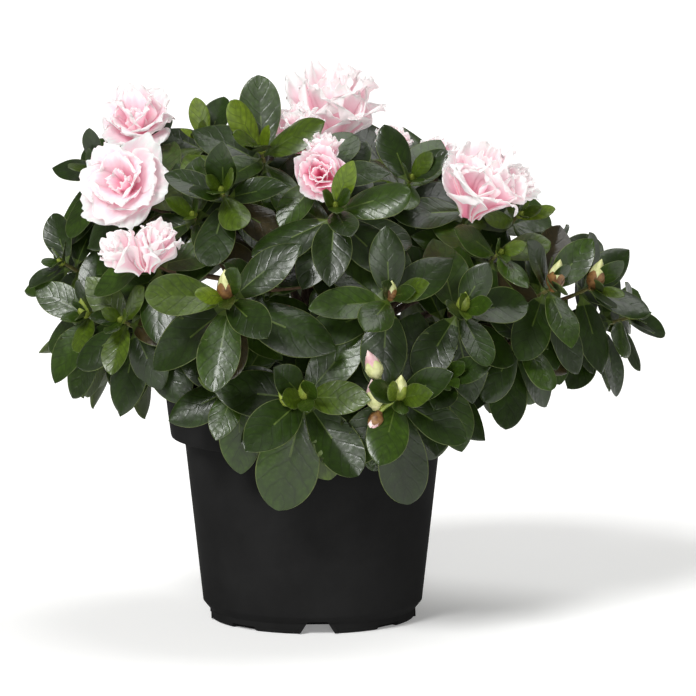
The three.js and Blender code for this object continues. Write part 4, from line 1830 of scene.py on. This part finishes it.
class PetalMaker:
    """Makes frilled petals that are white at the edge and pink with darker streaks below."""

    ROWS = 15
    COLUMNS = 31
    THICKNESS = 0.24
    EDGE = np.array(linear("#fdf6f5")[:3])
    BLUSH = np.array(linear("#fbdfe6")[:3])
    PINK = np.array(linear("#f59fb9")[:3])
    DEEP = np.array(linear("#e2517f")[:3])

    def __init__(self) -> None:
        """Works out the faces that all petals share."""
        along = np.linspace(0, 1, self.ROWS)
        self.share = (0.6 * along + 0.4 * (1 - (1 - along) ** 2))[:, None]
        self.side = np.linspace(-1, 1, self.COLUMNS)[None, :]
        count = self.ROWS * self.COLUMNS
        upper = grid_faces(self.ROWS, self.COLUMNS)
        lower = grid_faces(self.ROWS, self.COLUMNS, flipped=True) + count
        numbers = np.arange(count).reshape(self.ROWS, self.COLUMNS)
        loop = np.concatenate([numbers[:, 0], numbers[-1, 1:], numbers[-2::-1, -1]])
        # The edge has corners of its own, so that the two sides stay smooth right up to it.
        self.corners = np.concatenate([np.arange(2 * count), loop, loop + count])
        rim = grid_faces(2, len(loop)) + 2 * count
        self.faces = np.concatenate([upper, lower, rim])

    def tint(self, key: int, depth: float) -> Array:
        """The colour of each corner of one side.

        Args:
            key: The petal's own number.
            depth: How pink the petal is, from 0 to 1.

        Returns:
            A linear colour with alpha for each corner.
        """
        share, side = np.broadcast_arrays(self.share, self.side)
        streaks = 0.5 * np.sin(9 * side + 6 * chance(key, 1)) + 0.5 * np.sin(23 * side + 6 * chance(key, 2))
        level = share + 0.09 * streaks * share + 0.1 * np.abs(side) ** 3
        start = 0.72 + 0.13 * depth
        white = smoothstep(start, start + 0.18, np.maximum(level, 0.97 * np.abs(side) ** 0.7))[..., None]
        pink = (smoothstep(1.05, 0.35, level) * min(1, 0.35 + 0.65 * depth))[..., None]
        deep = (smoothstep(0.55 + 0.42 * depth, 0.1, level) * min(1, 0.1 + 0.85 * depth))[..., None]
        colour = self.BLUSH + (self.PINK - self.BLUSH) * pink
        colour = colour + (self.DEEP - colour) * deep
        colour = colour + (self.EDGE - colour) * white
        return np.concatenate([colour, np.ones(colour.shape[:2] + (1,))], -1).reshape(-1, 4)

    def add(
        self, piece: Piece, seat: Shoot, whorl: Whorl, i: int, key: int, reach: float, depth: float
    ) -> None:
        """Adds one petal.

        Args:
            piece: The bloom's piece.
            seat: Where the bloom sits, with its axis.
            whorl: The petal's whorl.
            i: Its number in the whorl.
            key: Its number in the whole plant.
            reach: The length of the bloom's longest petals.
            depth: How pink the bloom is.
        """
        share, side = np.broadcast_arrays(self.share, self.side)
        length = reach * whorl.size * between(0.92, 1.06, chance(key, 4))
        rounded = np.sqrt(1 - 0.6 * share**8)
        half = whorl.width * length * (0.24 + 0.76 * smoothstep(0.0, 0.8, share)) * rounded
        scallop = 0.022 * np.sin(8 * side + phase(key, 5)) + 0.015 * np.sin(17 * side + phase(key, 9))
        notch = 0.05 * np.exp(-((side / 0.16) ** 2)) * share**4
        lobed = 1 - 0.34 * np.abs(side) ** 2.6 * share**1.5 - notch + scallop * share**4
        fold = 0.075 * length * share**1.5 * np.sin(2.4 * side + phase(key, 6))
        rim_wave = np.sin(11 * side + phase(key, 7)) + 0.6 * np.sin(23 * side + phase(key, 11))
        rim_wave = share**6 * rim_wave
        side_wave = np.abs(side) ** 5 * share * np.sin(11 * share + phase(key, 10) + side)
        ruffle = fold + whorl.frill * length * (rim_wave + side_wave)
        opening = math.radians(whorl.opening * between(0.85, 1.15, chance(key, 8)))
        bend = opening * (1 - 0.5 * whorl.curve + whorl.curve * share) + 0.3 * max(whorl.curve, 0) * share**4
        steps = np.diff(self.share[:, 0], prepend=0)[:, None] * length
        out = np.cumsum(np.sin(bend[:, :1]) * steps, 0) * lobed
        up = np.cumsum(np.cos(bend[:, :1]) * steps, 0) * lobed
        hollow = out + 0.32 * length
        turned = side * half / hollow
        out = hollow * np.cos(turned) - 0.32 * length + 0.2 * side * half + ruffle * np.cos(bend) + 0.6
        across = hollow * np.sin(turned)
        up = up - ruffle * np.sin(bend)
        angle = 2 * math.pi * (i + 0.35 * (chance(key, 3) - 0.5)) / whorl.count + 3.1 * whorl.lift
        radial = seat.across * math.cos(angle) + seat.upward * math.sin(angle)
        tangent = np.cross(seat.axis, radial)
        middle = (
            seat.tip
            + (whorl.lift + up)[..., None] * seat.axis
            + out[..., None] * radial
            + across[..., None] * tangent
        )
        normal = np.cross(np.gradient(middle, axis=1), np.gradient(middle, axis=0))
        normal /= np.linalg.norm(normal, axis=2, keepdims=True) + 1e-9
        thick = self.THICKNESS / 2 * normal
        points = np.concatenate([(middle + thick).reshape(-1, 3), (middle - thick).reshape(-1, 3)])
        tint = self.tint(key, depth)
        tints = np.concatenate([tint, tint * [0.98, 0.95, 0.96, 1.0]])
        piece.add(points[self.corners], self.faces, 0, tints[self.corners])


class BudSkin(Enum):
    """The finishes of buds, in the order of their piece's materials."""

    SCALE = PlainFinish("bud scale, brown", "#8d6638", "#5f3f24", 0.5, 2.0)
    TIP = PlainFinish("bud tip, pale yellow green", "#dcdca6", "#b5ba78", 0.45, 3.0, 0.15)
    GREEN = PlainFinish("green bud", "#98a444", "#768830", 0.45, 3.0, 0.1)
    BLUSH = PlainFinish("opening bud, blush", "#ecd5cf", "#c99aa0", 0.5, 3.0, 0.2)

    @property
    def number(self) -> int:
        """Its place in that order."""
        return list(BudSkin).index(self)


class BudLook(Enum):
    """What a bud shows: the skin of its scales and of its tip, and its size."""

    BROWN = (BudSkin.SCALE, BudSkin.TIP, 1.1)
    SMALL = (BudSkin.SCALE, BudSkin.TIP, 0.68)
    GREEN = (BudSkin.GREEN, BudSkin.GREEN, 0.72)
    PINK = (BudSkin.TIP, BudSkin.BLUSH, 1.0)
    TAN = (BudSkin.SCALE, BudSkin.BLUSH, 0.75)
    FRESH = (BudSkin.GREEN, BudSkin.TIP, 0.95)


class Blooms(Dressing):
    """The ruffled blooms and the buds."""

    LOOKS = {
        "left_high.0": (BloomLook(BloomForm.CUPPED, 0.36, (-0.1, -0.5, 0.85), (-0.5, 0, -6), 1.33),),
        "left_high.1": (BloomLook(BloomForm.OPEN, 0.44, (-0.35, -0.75, 0.35), (0, 0, -1.5), 1.02),),
        "left_front.0": (
            BloomLook(BloomForm.HALF_OPEN, 0.15, (-0.72, -0.3, 0.75), (-2, 0, -7), 1.15),
            BloomLook(BloomForm.HALF_OPEN, 0.34, (0.3, -0.3, 0.95), (1, 0, -6.5), 1.15),
        ),
        "top_middle.0": (BloomLook(BloomForm.GOBLET, 0.25, (0.05, -0.25, 1.0), (2, 0, -9), 1.3),),
        "top_middle.1": (BloomLook(BloomForm.GOBLET, 0.3, (-0.15, -0.2, 1.0), (-1, 0, -4), 1.15),),
        "top_middle.2": (
            BloomLook(BloomForm.ROSE, 1.2, (-0.05, -0.85, 0.3), (0, 0, -2.5), 0.95),
            BloomLook(BloomForm.HALF_OPEN, 0.6, (0.05, -0.1, 1.0), (0, 4, 0), 0.95),
        ),
        "top_right.0": (BloomLook(BloomForm.GOBLET, 0.4, (0.2, -0.3, 1.0), (0, 0, -5), 0.85),),
        "top_right.1": (BloomLook(BloomForm.CUPPED, 0.15, (0.1, -0.3, 1.0), (-1, 0, -2), 0.85),),
        "top_right.2": (
            BloomLook(BloomForm.GOBLET, 0.48, (0.3, -0.32, 0.9), (-5.5, 0, -9), 1.4),
            BloomLook(BloomForm.HALF_OPEN, 0.1, (0.85, -0.2, 0.45), (4, 3, -2), 0.85),
        ),
    }
    # Buds that aren't here are green.
    BUD_LOOKS = {
        "left_front.1": BudLook.BROWN,
        "middle_front.0": BudLook.SMALL,
        "right_low.0": BudLook.BROWN,
        "right_low.1": BudLook.BROWN,
        "low_right.0": BudLook.FRESH,
    }
    # Buds on stalks beside the main one: shoot, look, foot from the twig's end, and direction.
    SIDE_BUDS = (
        ("low_left.0", BudLook.GREEN, (-5, -2, -2), (-0.6, -0.3, 0.7)),
        ("low_right.0", BudLook.PINK, (-9, -2, -3), (-0.15, -0.2, 1.0)),
        ("low_right.0", BudLook.PINK, (-8.5, -1, 8.5), (-0.35, -0.2, 1.0)),
        ("low_right.0", BudLook.TAN, (-8, -3, -6), (-0.4, -0.3, -0.8)),
    )

    def build(self) -> None:
        """Makes each bloom a piece of its own, and the buds one piece."""
        finish = PetalFinish().build()
        maker = PetalMaker()
        for shoot in self.growth.shoots:
            if shoot.kind is not ShootKind.BLOOM:
                continue
            piece = Piece(f"bloom_{shoot.name.replace('.', '_')}", [finish])
            for number, look in enumerate(self.LOOKS[shoot.name]):
                reach = shoot.size * BLOOM.reach * look.size
                seat = look.seat(shoot)
                for rank, whorl in enumerate(look.form.whorls):
                    for i in range(whorl.count):
                        key = shoot.number * 1000 + number * 400 + rank * 50 + i
                        maker.add(piece, seat, whorl, i, key, reach, look.depth)
            piece.make(None, *self.nodes)
        self.build_buds()

    def build_buds(self) -> None:
        """Makes the buds: plump ones on their shoots and beside them, and small ones on leafy twigs."""
        piece = Piece("buds", [skin.value.build() for skin in BudSkin])
        for shoot in self.growth.shoots:
            if shoot.kind is ShootKind.BUD:
                look = self.BUD_LOOKS.get(shoot.name, BudLook.GREEN)
                raised = replace(shoot, axis=unit(shoot.axis + UP * BUD.rise))
                self.add_bud(piece, raised, BUD.length, BUD.radius, look)
                for name, other, shift, facing in self.SIDE_BUDS:
                    if name == shoot.name:
                        seat = replace(shoot, axis=unit(np.array(facing)), tip=shoot.tip + shift)
                        self.add_bud(piece, seat, BUD.length, BUD.radius, other)
                        bend = (shoot.tip, shoot.tip + shoot.axis * 2, seat.tip - seat.axis * 3, seat.tip)
                        stalk = tube(bezier(bend, np.linspace(0, 1, 8)), np.full(8, 0.75), 7)
                        piece.add(*stalk, BudSkin.GREEN.number)
            elif shoot.kind is not ShootKind.BLOOM:
                self.add_bud(piece, shoot, BUD.small_length, BUD.small_radius, BudLook.GREEN)
        piece.make("foliage", *self.nodes)

    @staticmethod
    def add_bud(piece: Piece, shoot: Shoot, length: float, radius: float, look: BudLook) -> None:
        """Adds one bud: a spindle with scales that lie over each other like tiles.

        Args:
            piece: The buds' piece.
            shoot: The shoot whose tip it sits on.
            length: Its length.
            radius: Its radius.
            look: What its scales and tip show.
        """
        scale, tip, size = look.value
        length, radius = length * size, radius * size**0.7
        rows, sides = 12, 14
        share = np.linspace(0, 1, rows)[:, None]
        angle = (np.arange(sides) * 2 * math.pi / sides)[None, :]

        def waist(at: Array) -> Array:
            """The bud's radius at a share of its length."""
            return radius * np.sin(math.pi * np.clip(at, 0.02, 1) ** 0.72) ** 0.8 * (1 - 0.3 * at)

        body = (waist(share) + 0.08) * (1 + 0.03 * np.sin(5 * angle))
        points = shoot.place(length * share - 0.8, body, angle).reshape(-1, 3)
        piece.add(points, grid_faces(rows, sides, closed=True), tip.number)
        for ring, (low, high) in enumerate(((-0.05, 0.42), (0.08, 0.64), (0.3, 0.84))):
            for i in range(5):
                turn = 2 * math.pi * (i + 0.5 * ring) / 5
                along = np.linspace(0, 1, 6)[:, None]
                across = np.linspace(-1, 1, 5)[None, :]
                place = low + (high - low) * along
                around = turn + across * 0.74 * np.sqrt(1 - (along * 0.98) ** 3)
                out = waist(place) + 0.08 + 0.12 * (3 - ring) + 0.12 * along**2
                points = shoot.place(length * place - 0.8, out, around).reshape(-1, 3)
                piece.add(points, grid_faces(6, 5), scale.number if ring < 2 else tip.number)


# ---- wood, peat and pot
@dataclass
class Wood(Dressing):
    """The trunk and the boughs, with the relief of their bark.

    The trunk's profile is given by share of its height and radius, and a bough flares at its root.
    """

    trunk_sides: int = 32
    trunk_relief: float = 0.3
    bough_sides: int = 12
    bough_relief: float = 0.12
    bark: float = 0.1
    flare: float = 0.9
    flare_steps: int = 8
    profile: tuple[tuple[float, float], ...] = (
        *((0, 8.6), (0.06, 7.6), (0.12, 6.9), (0.25, 6.4)),
        *((0.5, 6.1), (0.75, 5.7), (0.9, 5.1), (1, 3.6)),
    )

    @staticmethod
    def relief(depth: float, key: int) -> Callable[[Array, Array], Array]:
        """Ridges that wander along a limb.

        Args:
            depth: How deep they are.
            key: The limb's own number.

        Returns:
            What gives the relief at places along the limb and angles round it.
        """
        twist, shift = 6 * chance(key, 1), 5 * chance(key, 2)
        return lambda along, angle: depth * (
            0.6 * np.sin(7 * angle + (0.09 * along + twist) + 1.3 * np.sin(0.5 * along))
            + 0.7 * (np.sin(0.9 * along + 3 * angle + shift) * np.sin(0.37 * along))
        )

    def build(self) -> None:
        """Makes one piece of the trunk and all boughs."""
        piece = Piece("wood", [BarkFinish().build()])
        shares = np.linspace(0, 1, 26)
        line = np.array([trunk_at(share) for share in shares])
        radii = np.interp(shares, *zip(*self.profile))
        piece.add(*tube(line, radii, self.trunk_sides, self.relief(self.trunk_relief, 1)))
        for number, mass in enumerate(self.growth.masses):
            points = bezier(mass.bough, np.linspace(0, 1, 34))
            radii = np.linspace(BOUGH.root_radius + self.bark, BOUGH.tip_radius, len(points))
            radii[: self.flare_steps] += np.linspace(self.flare, 0, self.flare_steps)
            relief = self.relief(self.bough_relief, 10 + number)
            piece.add(*tube(points, radii, self.bough_sides, relief))
        piece.make("bark", *self.nodes)


@dataclass(frozen=True)
class Peat:
    """The peat's rough top, with crumbs on it. Its lumps are given by size and depth."""

    rings: int = 44
    sides: int = 132
    skirt: float = 9.0
    overlap: float = 1.2
    crumbs: int = 420
    fibres: float = 0.3
    lumps: tuple[tuple[float, float], ...] = ((5.2, 0.5), (2.3, 0.35), (1.15, 0.22))

    def build(self) -> None:
        """Makes the surface, and crumbs of a few sizes scattered on it."""
        fibre = PlainFinish("peat fibre", "#6b543c", "#3f2e20", 0.95)
        piece = Piece("peat", [PeatFinish().build(), fibre.build()])
        radius = np.linspace(0, self.edge, self.rings)[:, None]
        angle = (np.arange(self.sides) * 2 * math.pi / self.sides)[None, :]
        x, y = radius * np.cos(angle), radius * np.sin(angle)
        lumps = sum(
            depth * np.sin(x / size + 1.7 * i) * np.sin(y / size + 2.3 * i + 0.6 * np.sin(x / size))
            for i, (size, depth) in enumerate(self.lumps)
        )
        drop = SOIL.edge_drop * smoothstep(SOIL.flat_radius, self.edge, radius)
        points = np.stack([x, y, SOIL.top + lumps - drop], -1).reshape(-1, 3)
        skirt = points[-self.sides :] - [0, 0, self.skirt]
        piece.add(np.concatenate([points, skirt]), grid_faces(self.rings + 1, self.sides, closed=True))
        for i in range(self.crumbs):
            self.add_crumb(piece, i)
        piece.make("soil", "root_ball")

    @property
    def edge(self) -> float:
        """The radius at which the peat meets the pot."""
        return POT.collar_foot - POT.wall + self.overlap

    def add_crumb(self, piece: Piece, i: int) -> None:
        """Adds one crumb: a small lump that lies on the surface.

        Args:
            piece: The peat's piece.
            i: The crumb's number.
        """
        reach = 8 + (self.edge - 12) * math.sqrt(chance(i, 1))
        centre = polar(360 * chance(i, 2), reach, SOIL.top - 0.4)
        size = between(0.5, 1.7, chance(i, 3) ** 2)
        corners = np.array([[x, y, z] for z in (-1, 1) for y in (-1, 1) for x in (-1, 1)], float) * 0.7
        stretch = [1 + chance(i, 4), 0.6 + 0.5 * chance(i, 5), 0.5 + 0.5 * chance(i, 6)]
        uneven = 0.8 + 0.4 * np.array([chance(i, 9, n) for n in range(8)])
        corners = corners * stretch * size * uneven[:, None]
        spin = np.array(Matrix.Rotation(6.28 * chance(i, 7), 3, "Z"))
        faces = [[0, 2, 3, 1], [4, 5, 7, 6], [0, 1, 5, 4], [2, 6, 7, 3], [0, 4, 6, 2], [1, 3, 7, 5]]
        piece.add(corners @ spin.T + centre, np.array(faces), 1 if chance(i, 8) < self.fibres else 0)


class Pot:
    """The nursery pot: turned wall with a rolled lip, and a foot with drainage channels."""

    def profile(self) -> list[tuple[float, float]]:
        """The wall's outline, from the centre of the sole up the outside and down the inside.

        Returns:
            Its corners, each as radius and height.
        """
        p = POT
        lip = p.height - p.lip_height
        shares = (0.2, 0.4, 0.6, 0.8)
        return [
            (0.0, 0.0),
            (p.base_radius - 1.6, 0.0),
            (p.base_radius - 0.8, 0.3),
            (p.base_radius - 0.3, 1.0),
            (p.base_radius, p.chamfer_foot),
            (p.body_foot - 0.25, p.chamfer_top - 0.35),
            (p.body_foot, p.chamfer_top),
            (p.body_foot + 0.12, p.chamfer_top + 1.2),
            *((between(p.body_foot, p.body_top, t), between(p.chamfer_top, p.step, t)) for t in shares),
            (p.body_top - 0.1, p.step - 1.0),
            (p.body_top + 0.1, p.step - 0.25),
            (p.body_top + 0.6, p.step),
            (p.collar_foot - 0.8, p.step),
            (p.collar_foot - 0.2, p.step + 0.25),
            (p.collar_foot, p.step + 0.9),
            (between(p.collar_foot, p.collar_top, 0.5), between(p.step, lip, 0.5)),
            (p.collar_top - 0.1, lip - 0.5),
            (p.collar_top + 0.15, lip - 0.1),
            (p.rim_radius - 0.4, lip),
            (p.rim_radius, lip + 0.4),
            (p.rim_radius, p.height - 0.45),
            (p.rim_radius - 0.35, p.height - 0.05),
            (p.rim_radius - 0.8, p.height),
            (p.collar_top - p.wall + 0.2, p.height),
            (p.collar_top - p.wall, p.height - 0.3),
            (p.collar_foot - p.wall, p.step + p.wall),
            (p.body_top - p.wall, p.step - p.wall / 2),
            (p.body_foot - p.wall, p.chamfer_top),
            (p.base_radius - p.wall, p.chamfer_foot),
            (p.base_radius - p.wall, p.floor),
            (0.0, p.floor),
        ]

    def turned(self) -> Object:
        """Turns the wall and sole.

        Returns:
            An object with one closed mesh.
        """
        profile = np.array(self.profile())
        angle = np.arange(POT.sides) * 2 * math.pi / POT.sides
        rings = profile[1:-1]
        round_x, round_y = rings[:, :1] * np.cos(angle), rings[:, :1] * np.sin(angle)
        skin = np.stack([round_x, round_y, np.repeat(rings[:, 1:], POT.sides, 1)], -1).reshape(-1, 3)
        points = np.concatenate([skin, [[0, 0, profile[0, 1]], [0, 0, profile[-1, 1]]]])
        faces = [tuple(f) for f in grid_faces(len(rings), POT.sides, closed=True).tolist()]
        last = (len(rings) - 1) * POT.sides
        for i in range(POT.sides):
            j = (i + 1) % POT.sides
            faces.append((j, i, len(skin)))
            faces.append((last + i, last + j, len(skin) + 1))
        made = solid("nursery_pot", points, faces)
        made.data.materials.append(PotFinish().build())
        return made

    @staticmethod
    def bar(
        foot: float, top: float, low: float, high: float, start: float, end: float, turn: float
    ) -> tuple[Array, Array]:
        """A bar of trapezoid section that lies outwards.

        Args:
            foot: Its width below.
            top: Its width above.
            low: The height of its underside.
            high: The height of its top.
            start: The radius at its inner end.
            end: The radius at its outer end.
            turn: Its bearing, in degrees from the front.

        Returns:
            Its corners and faces.
        """
        section = ((-foot / 2, low), (foot / 2, low), (top / 2, high), (-top / 2, high))
        corners = np.array([[x, y, z] for x in (start, end) for y, z in section])
        spin = np.array(Matrix.Rotation(math.radians(turn - 90), 3, "Z"))
        faces = [[3, 2, 1, 0], [4, 5, 6, 7], [0, 1, 5, 4], [1, 2, 6, 5], [2, 3, 7, 6], [3, 0, 4, 7]]
        return corners @ spin.T, np.array(faces)

    @staticmethod
    def combine(pot: Object, bars: Sequence[tuple[Array, Array]], operation: str) -> None:
        """Adds bars to the pot, or cuts them away.

        Args:
            pot: The pot, which changes.
            bars: The corners and faces of each bar.
            operation: The name of the Boolean.
        """
        points = np.concatenate([corners for corners, _ in bars])
        faces = [outlines + len(corners) * i for i, (corners, outlines) in enumerate(bars)]
        tool = solid("bars", points, np.concatenate(faces).tolist())
        modifier = pot.modifiers.new(operation.lower(), "BOOLEAN")
        modifier.operation = operation
        modifier.solver = "EXACT"
        modifier.object = tool
        graph = bpy.context.evaluated_depsgraph_get()
        mesh = bpy.data.meshes.new_from_object(pot.evaluated_get(graph))
        pot.modifiers.clear()
        old = pot.data
        pot.data = mesh
        bpy.data.meshes.remove(old)
        bpy.data.objects.remove(tool)

    def build(self) -> None:
        """Makes the pot, with the channels, their mouths and the recesses cut in its foot."""
        pot = self.turned()
        c, wall = CHANNEL, POT.floor
        turns = [c.turn + i * 360 / c.count for i in range(c.count)]
        widths = (c.foot_width + 2 * wall, c.top_width + 2 * wall)
        span = (wall / 2, c.height + wall, c.inner_end - wall, POT.base_radius - POT.wall / 2)
        housings = [self.bar(*widths, *span, turn) for turn in turns]
        self.combine(pot, housings, "UNION")
        slope = (c.foot_width - c.top_width) / c.height
        outside = POT.base_radius + 5
        for foot, top, high, start, aside in (
            (c.foot_width + slope, c.top_width, c.height, c.inner_end, 0),
            (c.frame_width, c.frame_width, c.frame_height, POT.base_radius - c.frame_depth, 0),
            (c.recess_width, c.recess_width, c.recess_height, POT.base_radius - c.recess_depth, 45),
        ):
            cuts = [self.bar(foot, top, -1, high, start, outside, turn + aside) for turn in turns]
            self.combine(pot, cuts, "DIFFERENCE")
        pot.data.shade_smooth()
        pot.data.set_sharp_from_angle(angle=math.radians(32))
        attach(pot, "root")
        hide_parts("pot")


# ---- studio
@dataclass(frozen=True)
class Studio:
    """A pale floor, broad soft lamps and the camera.

    Each lamp has a name, the direction in which it stands, how wide it looks in degrees, and a strength.
    """

    target: Triple = (14.1, 0.0, 107.8)
    distance: float = 2500.0
    elevation: float = 8.5
    frame_width: float = 276.3
    sensor: float = 36.0
    reach: float = 50.0
    floor_half: float = 12000.0
    backdrop: str = "#fcfcfc"
    ambient: str = "#fffdf8"
    ambient_strength: float = 0.14
    lamps: tuple[tuple[str, Triple, float, float], ...] = (
        ("key_softbox", (-0.5, -0.85, 0.85), 20.0, 2.8),
        ("front_softbox", (0.05, -1.0, 0.12), 25.0, 0.9),
        ("top_softbox", (0.3, 0.2, 1.0), 45.0, 1.4),
    )

    def build(self) -> None:
        """Sets the stage, the light and the camera."""
        self.floor()
        self.world()
        for lamp in self.lamps:
            self.softlight(*lamp)
        self.camera()

    def floor(self) -> None:
        """A large pale plane under the pot."""
        corners = np.array([(-1, -1, 0), (1, -1, 0), (1, 1, 0), (-1, 1, 0)]) * self.floor_half
        made = solid("studio_floor", corners, [(0, 1, 2, 3)])
        made.data.materials.append(FloorFinish().build())

    def world(self) -> None:
        """A white backdrop for the eye, and a dimmer even light for the plant."""
        world = bpy.data.worlds.new("studio")
        world.use_nodes = True
        tree = world.node_tree
        backdrop = tree.nodes["Background"]
        backdrop.inputs["Color"].default_value = linear(self.backdrop)
        ambient = tree.nodes.new("ShaderNodeBackground")
        ambient.inputs["Color"].default_value = linear(self.ambient)
        ambient.inputs["Strength"].default_value = self.ambient_strength
        mix = tree.nodes.new("ShaderNodeMixShader")
        path = tree.nodes.new("ShaderNodeLightPath")
        tree.links.new(path.outputs["Is Camera Ray"], mix.inputs["Fac"])
        tree.links.new(ambient.outputs["Background"], mix.inputs[1])
        tree.links.new(backdrop.outputs["Background"], mix.inputs[2])
        tree.links.new(mix.outputs["Shader"], tree.nodes["World Output"].inputs["Surface"])
        bpy.context.scene.world = world
        bpy.context.scene.view_settings.view_transform = "Standard"

    @staticmethod
    def softlight(name: str, side: Triple, spread: float, strength: float) -> None:
        """A far, round softbox.

        Args:
            name: Its name.
            side: Where it stands, as a direction from the plant.
            spread: How wide it looks from the plant, in degrees.
            strength: Its light on a surface that faces it, in watts per square metre.
        """
        light = bpy.data.lights.new(name, "SUN")
        light.angle = math.radians(spread)
        light.energy = strength
        placed(name, light).rotation_euler = (-Vector(side)).to_track_quat("-Z", "Y").to_euler()

    def camera(self) -> None:
        """A long lens at the height from which the plant is seen."""
        lens = bpy.data.cameras.new("camera")
        lens.sensor_width = self.sensor
        lens.lens = self.sensor * self.distance / self.frame_width
        lens.clip_end = self.reach
        made = placed("camera", lens)
        angle = math.radians(self.elevation)
        offset = Vector((0, -math.cos(angle), math.sin(angle))) * self.distance
        made.location = (Vector(self.target) + offset) * MM
        made.rotation_euler = (-offset).to_track_quat("-Z", "Y").to_euler()
        bpy.context.scene.camera = made


def main() -> None:
    """Grows the plant, dresses it and sets the studio."""
    logging.basicConfig(level=logging.INFO, format="%(name)s: %(message)s")
    growth = Growth()
    log.info("grown: %d leaves of the source's rule", growth.leaf_count)
    log.info("added: %d more leaves", growth.grow_more())
    log.info("opened: %d leaves fewer", growth.open_gaps() + growth.clear_blooms(Blooms.LOOKS))
    foliage_nodes = [name for name in frame["nodes"] if name.startswith("foliage_")]
    wood_nodes = [name for name in frame["nodes"] if name.startswith("bough_") or name == "trunk"]
    leaves, blooms = Foliage(growth, foliage_nodes), Blooms(growth, foliage_nodes)
    for part in (leaves, blooms, Wood(growth, wood_nodes), Peat(), Pot(), Studio()):
        before = set(bpy.data.objects.keys())
        part.build()
        for name in sorted(set(bpy.data.objects.keys()) - before):
            log.info("%s made: %s", type(part).__name__, name)


if __name__ == "__main__":
    main()
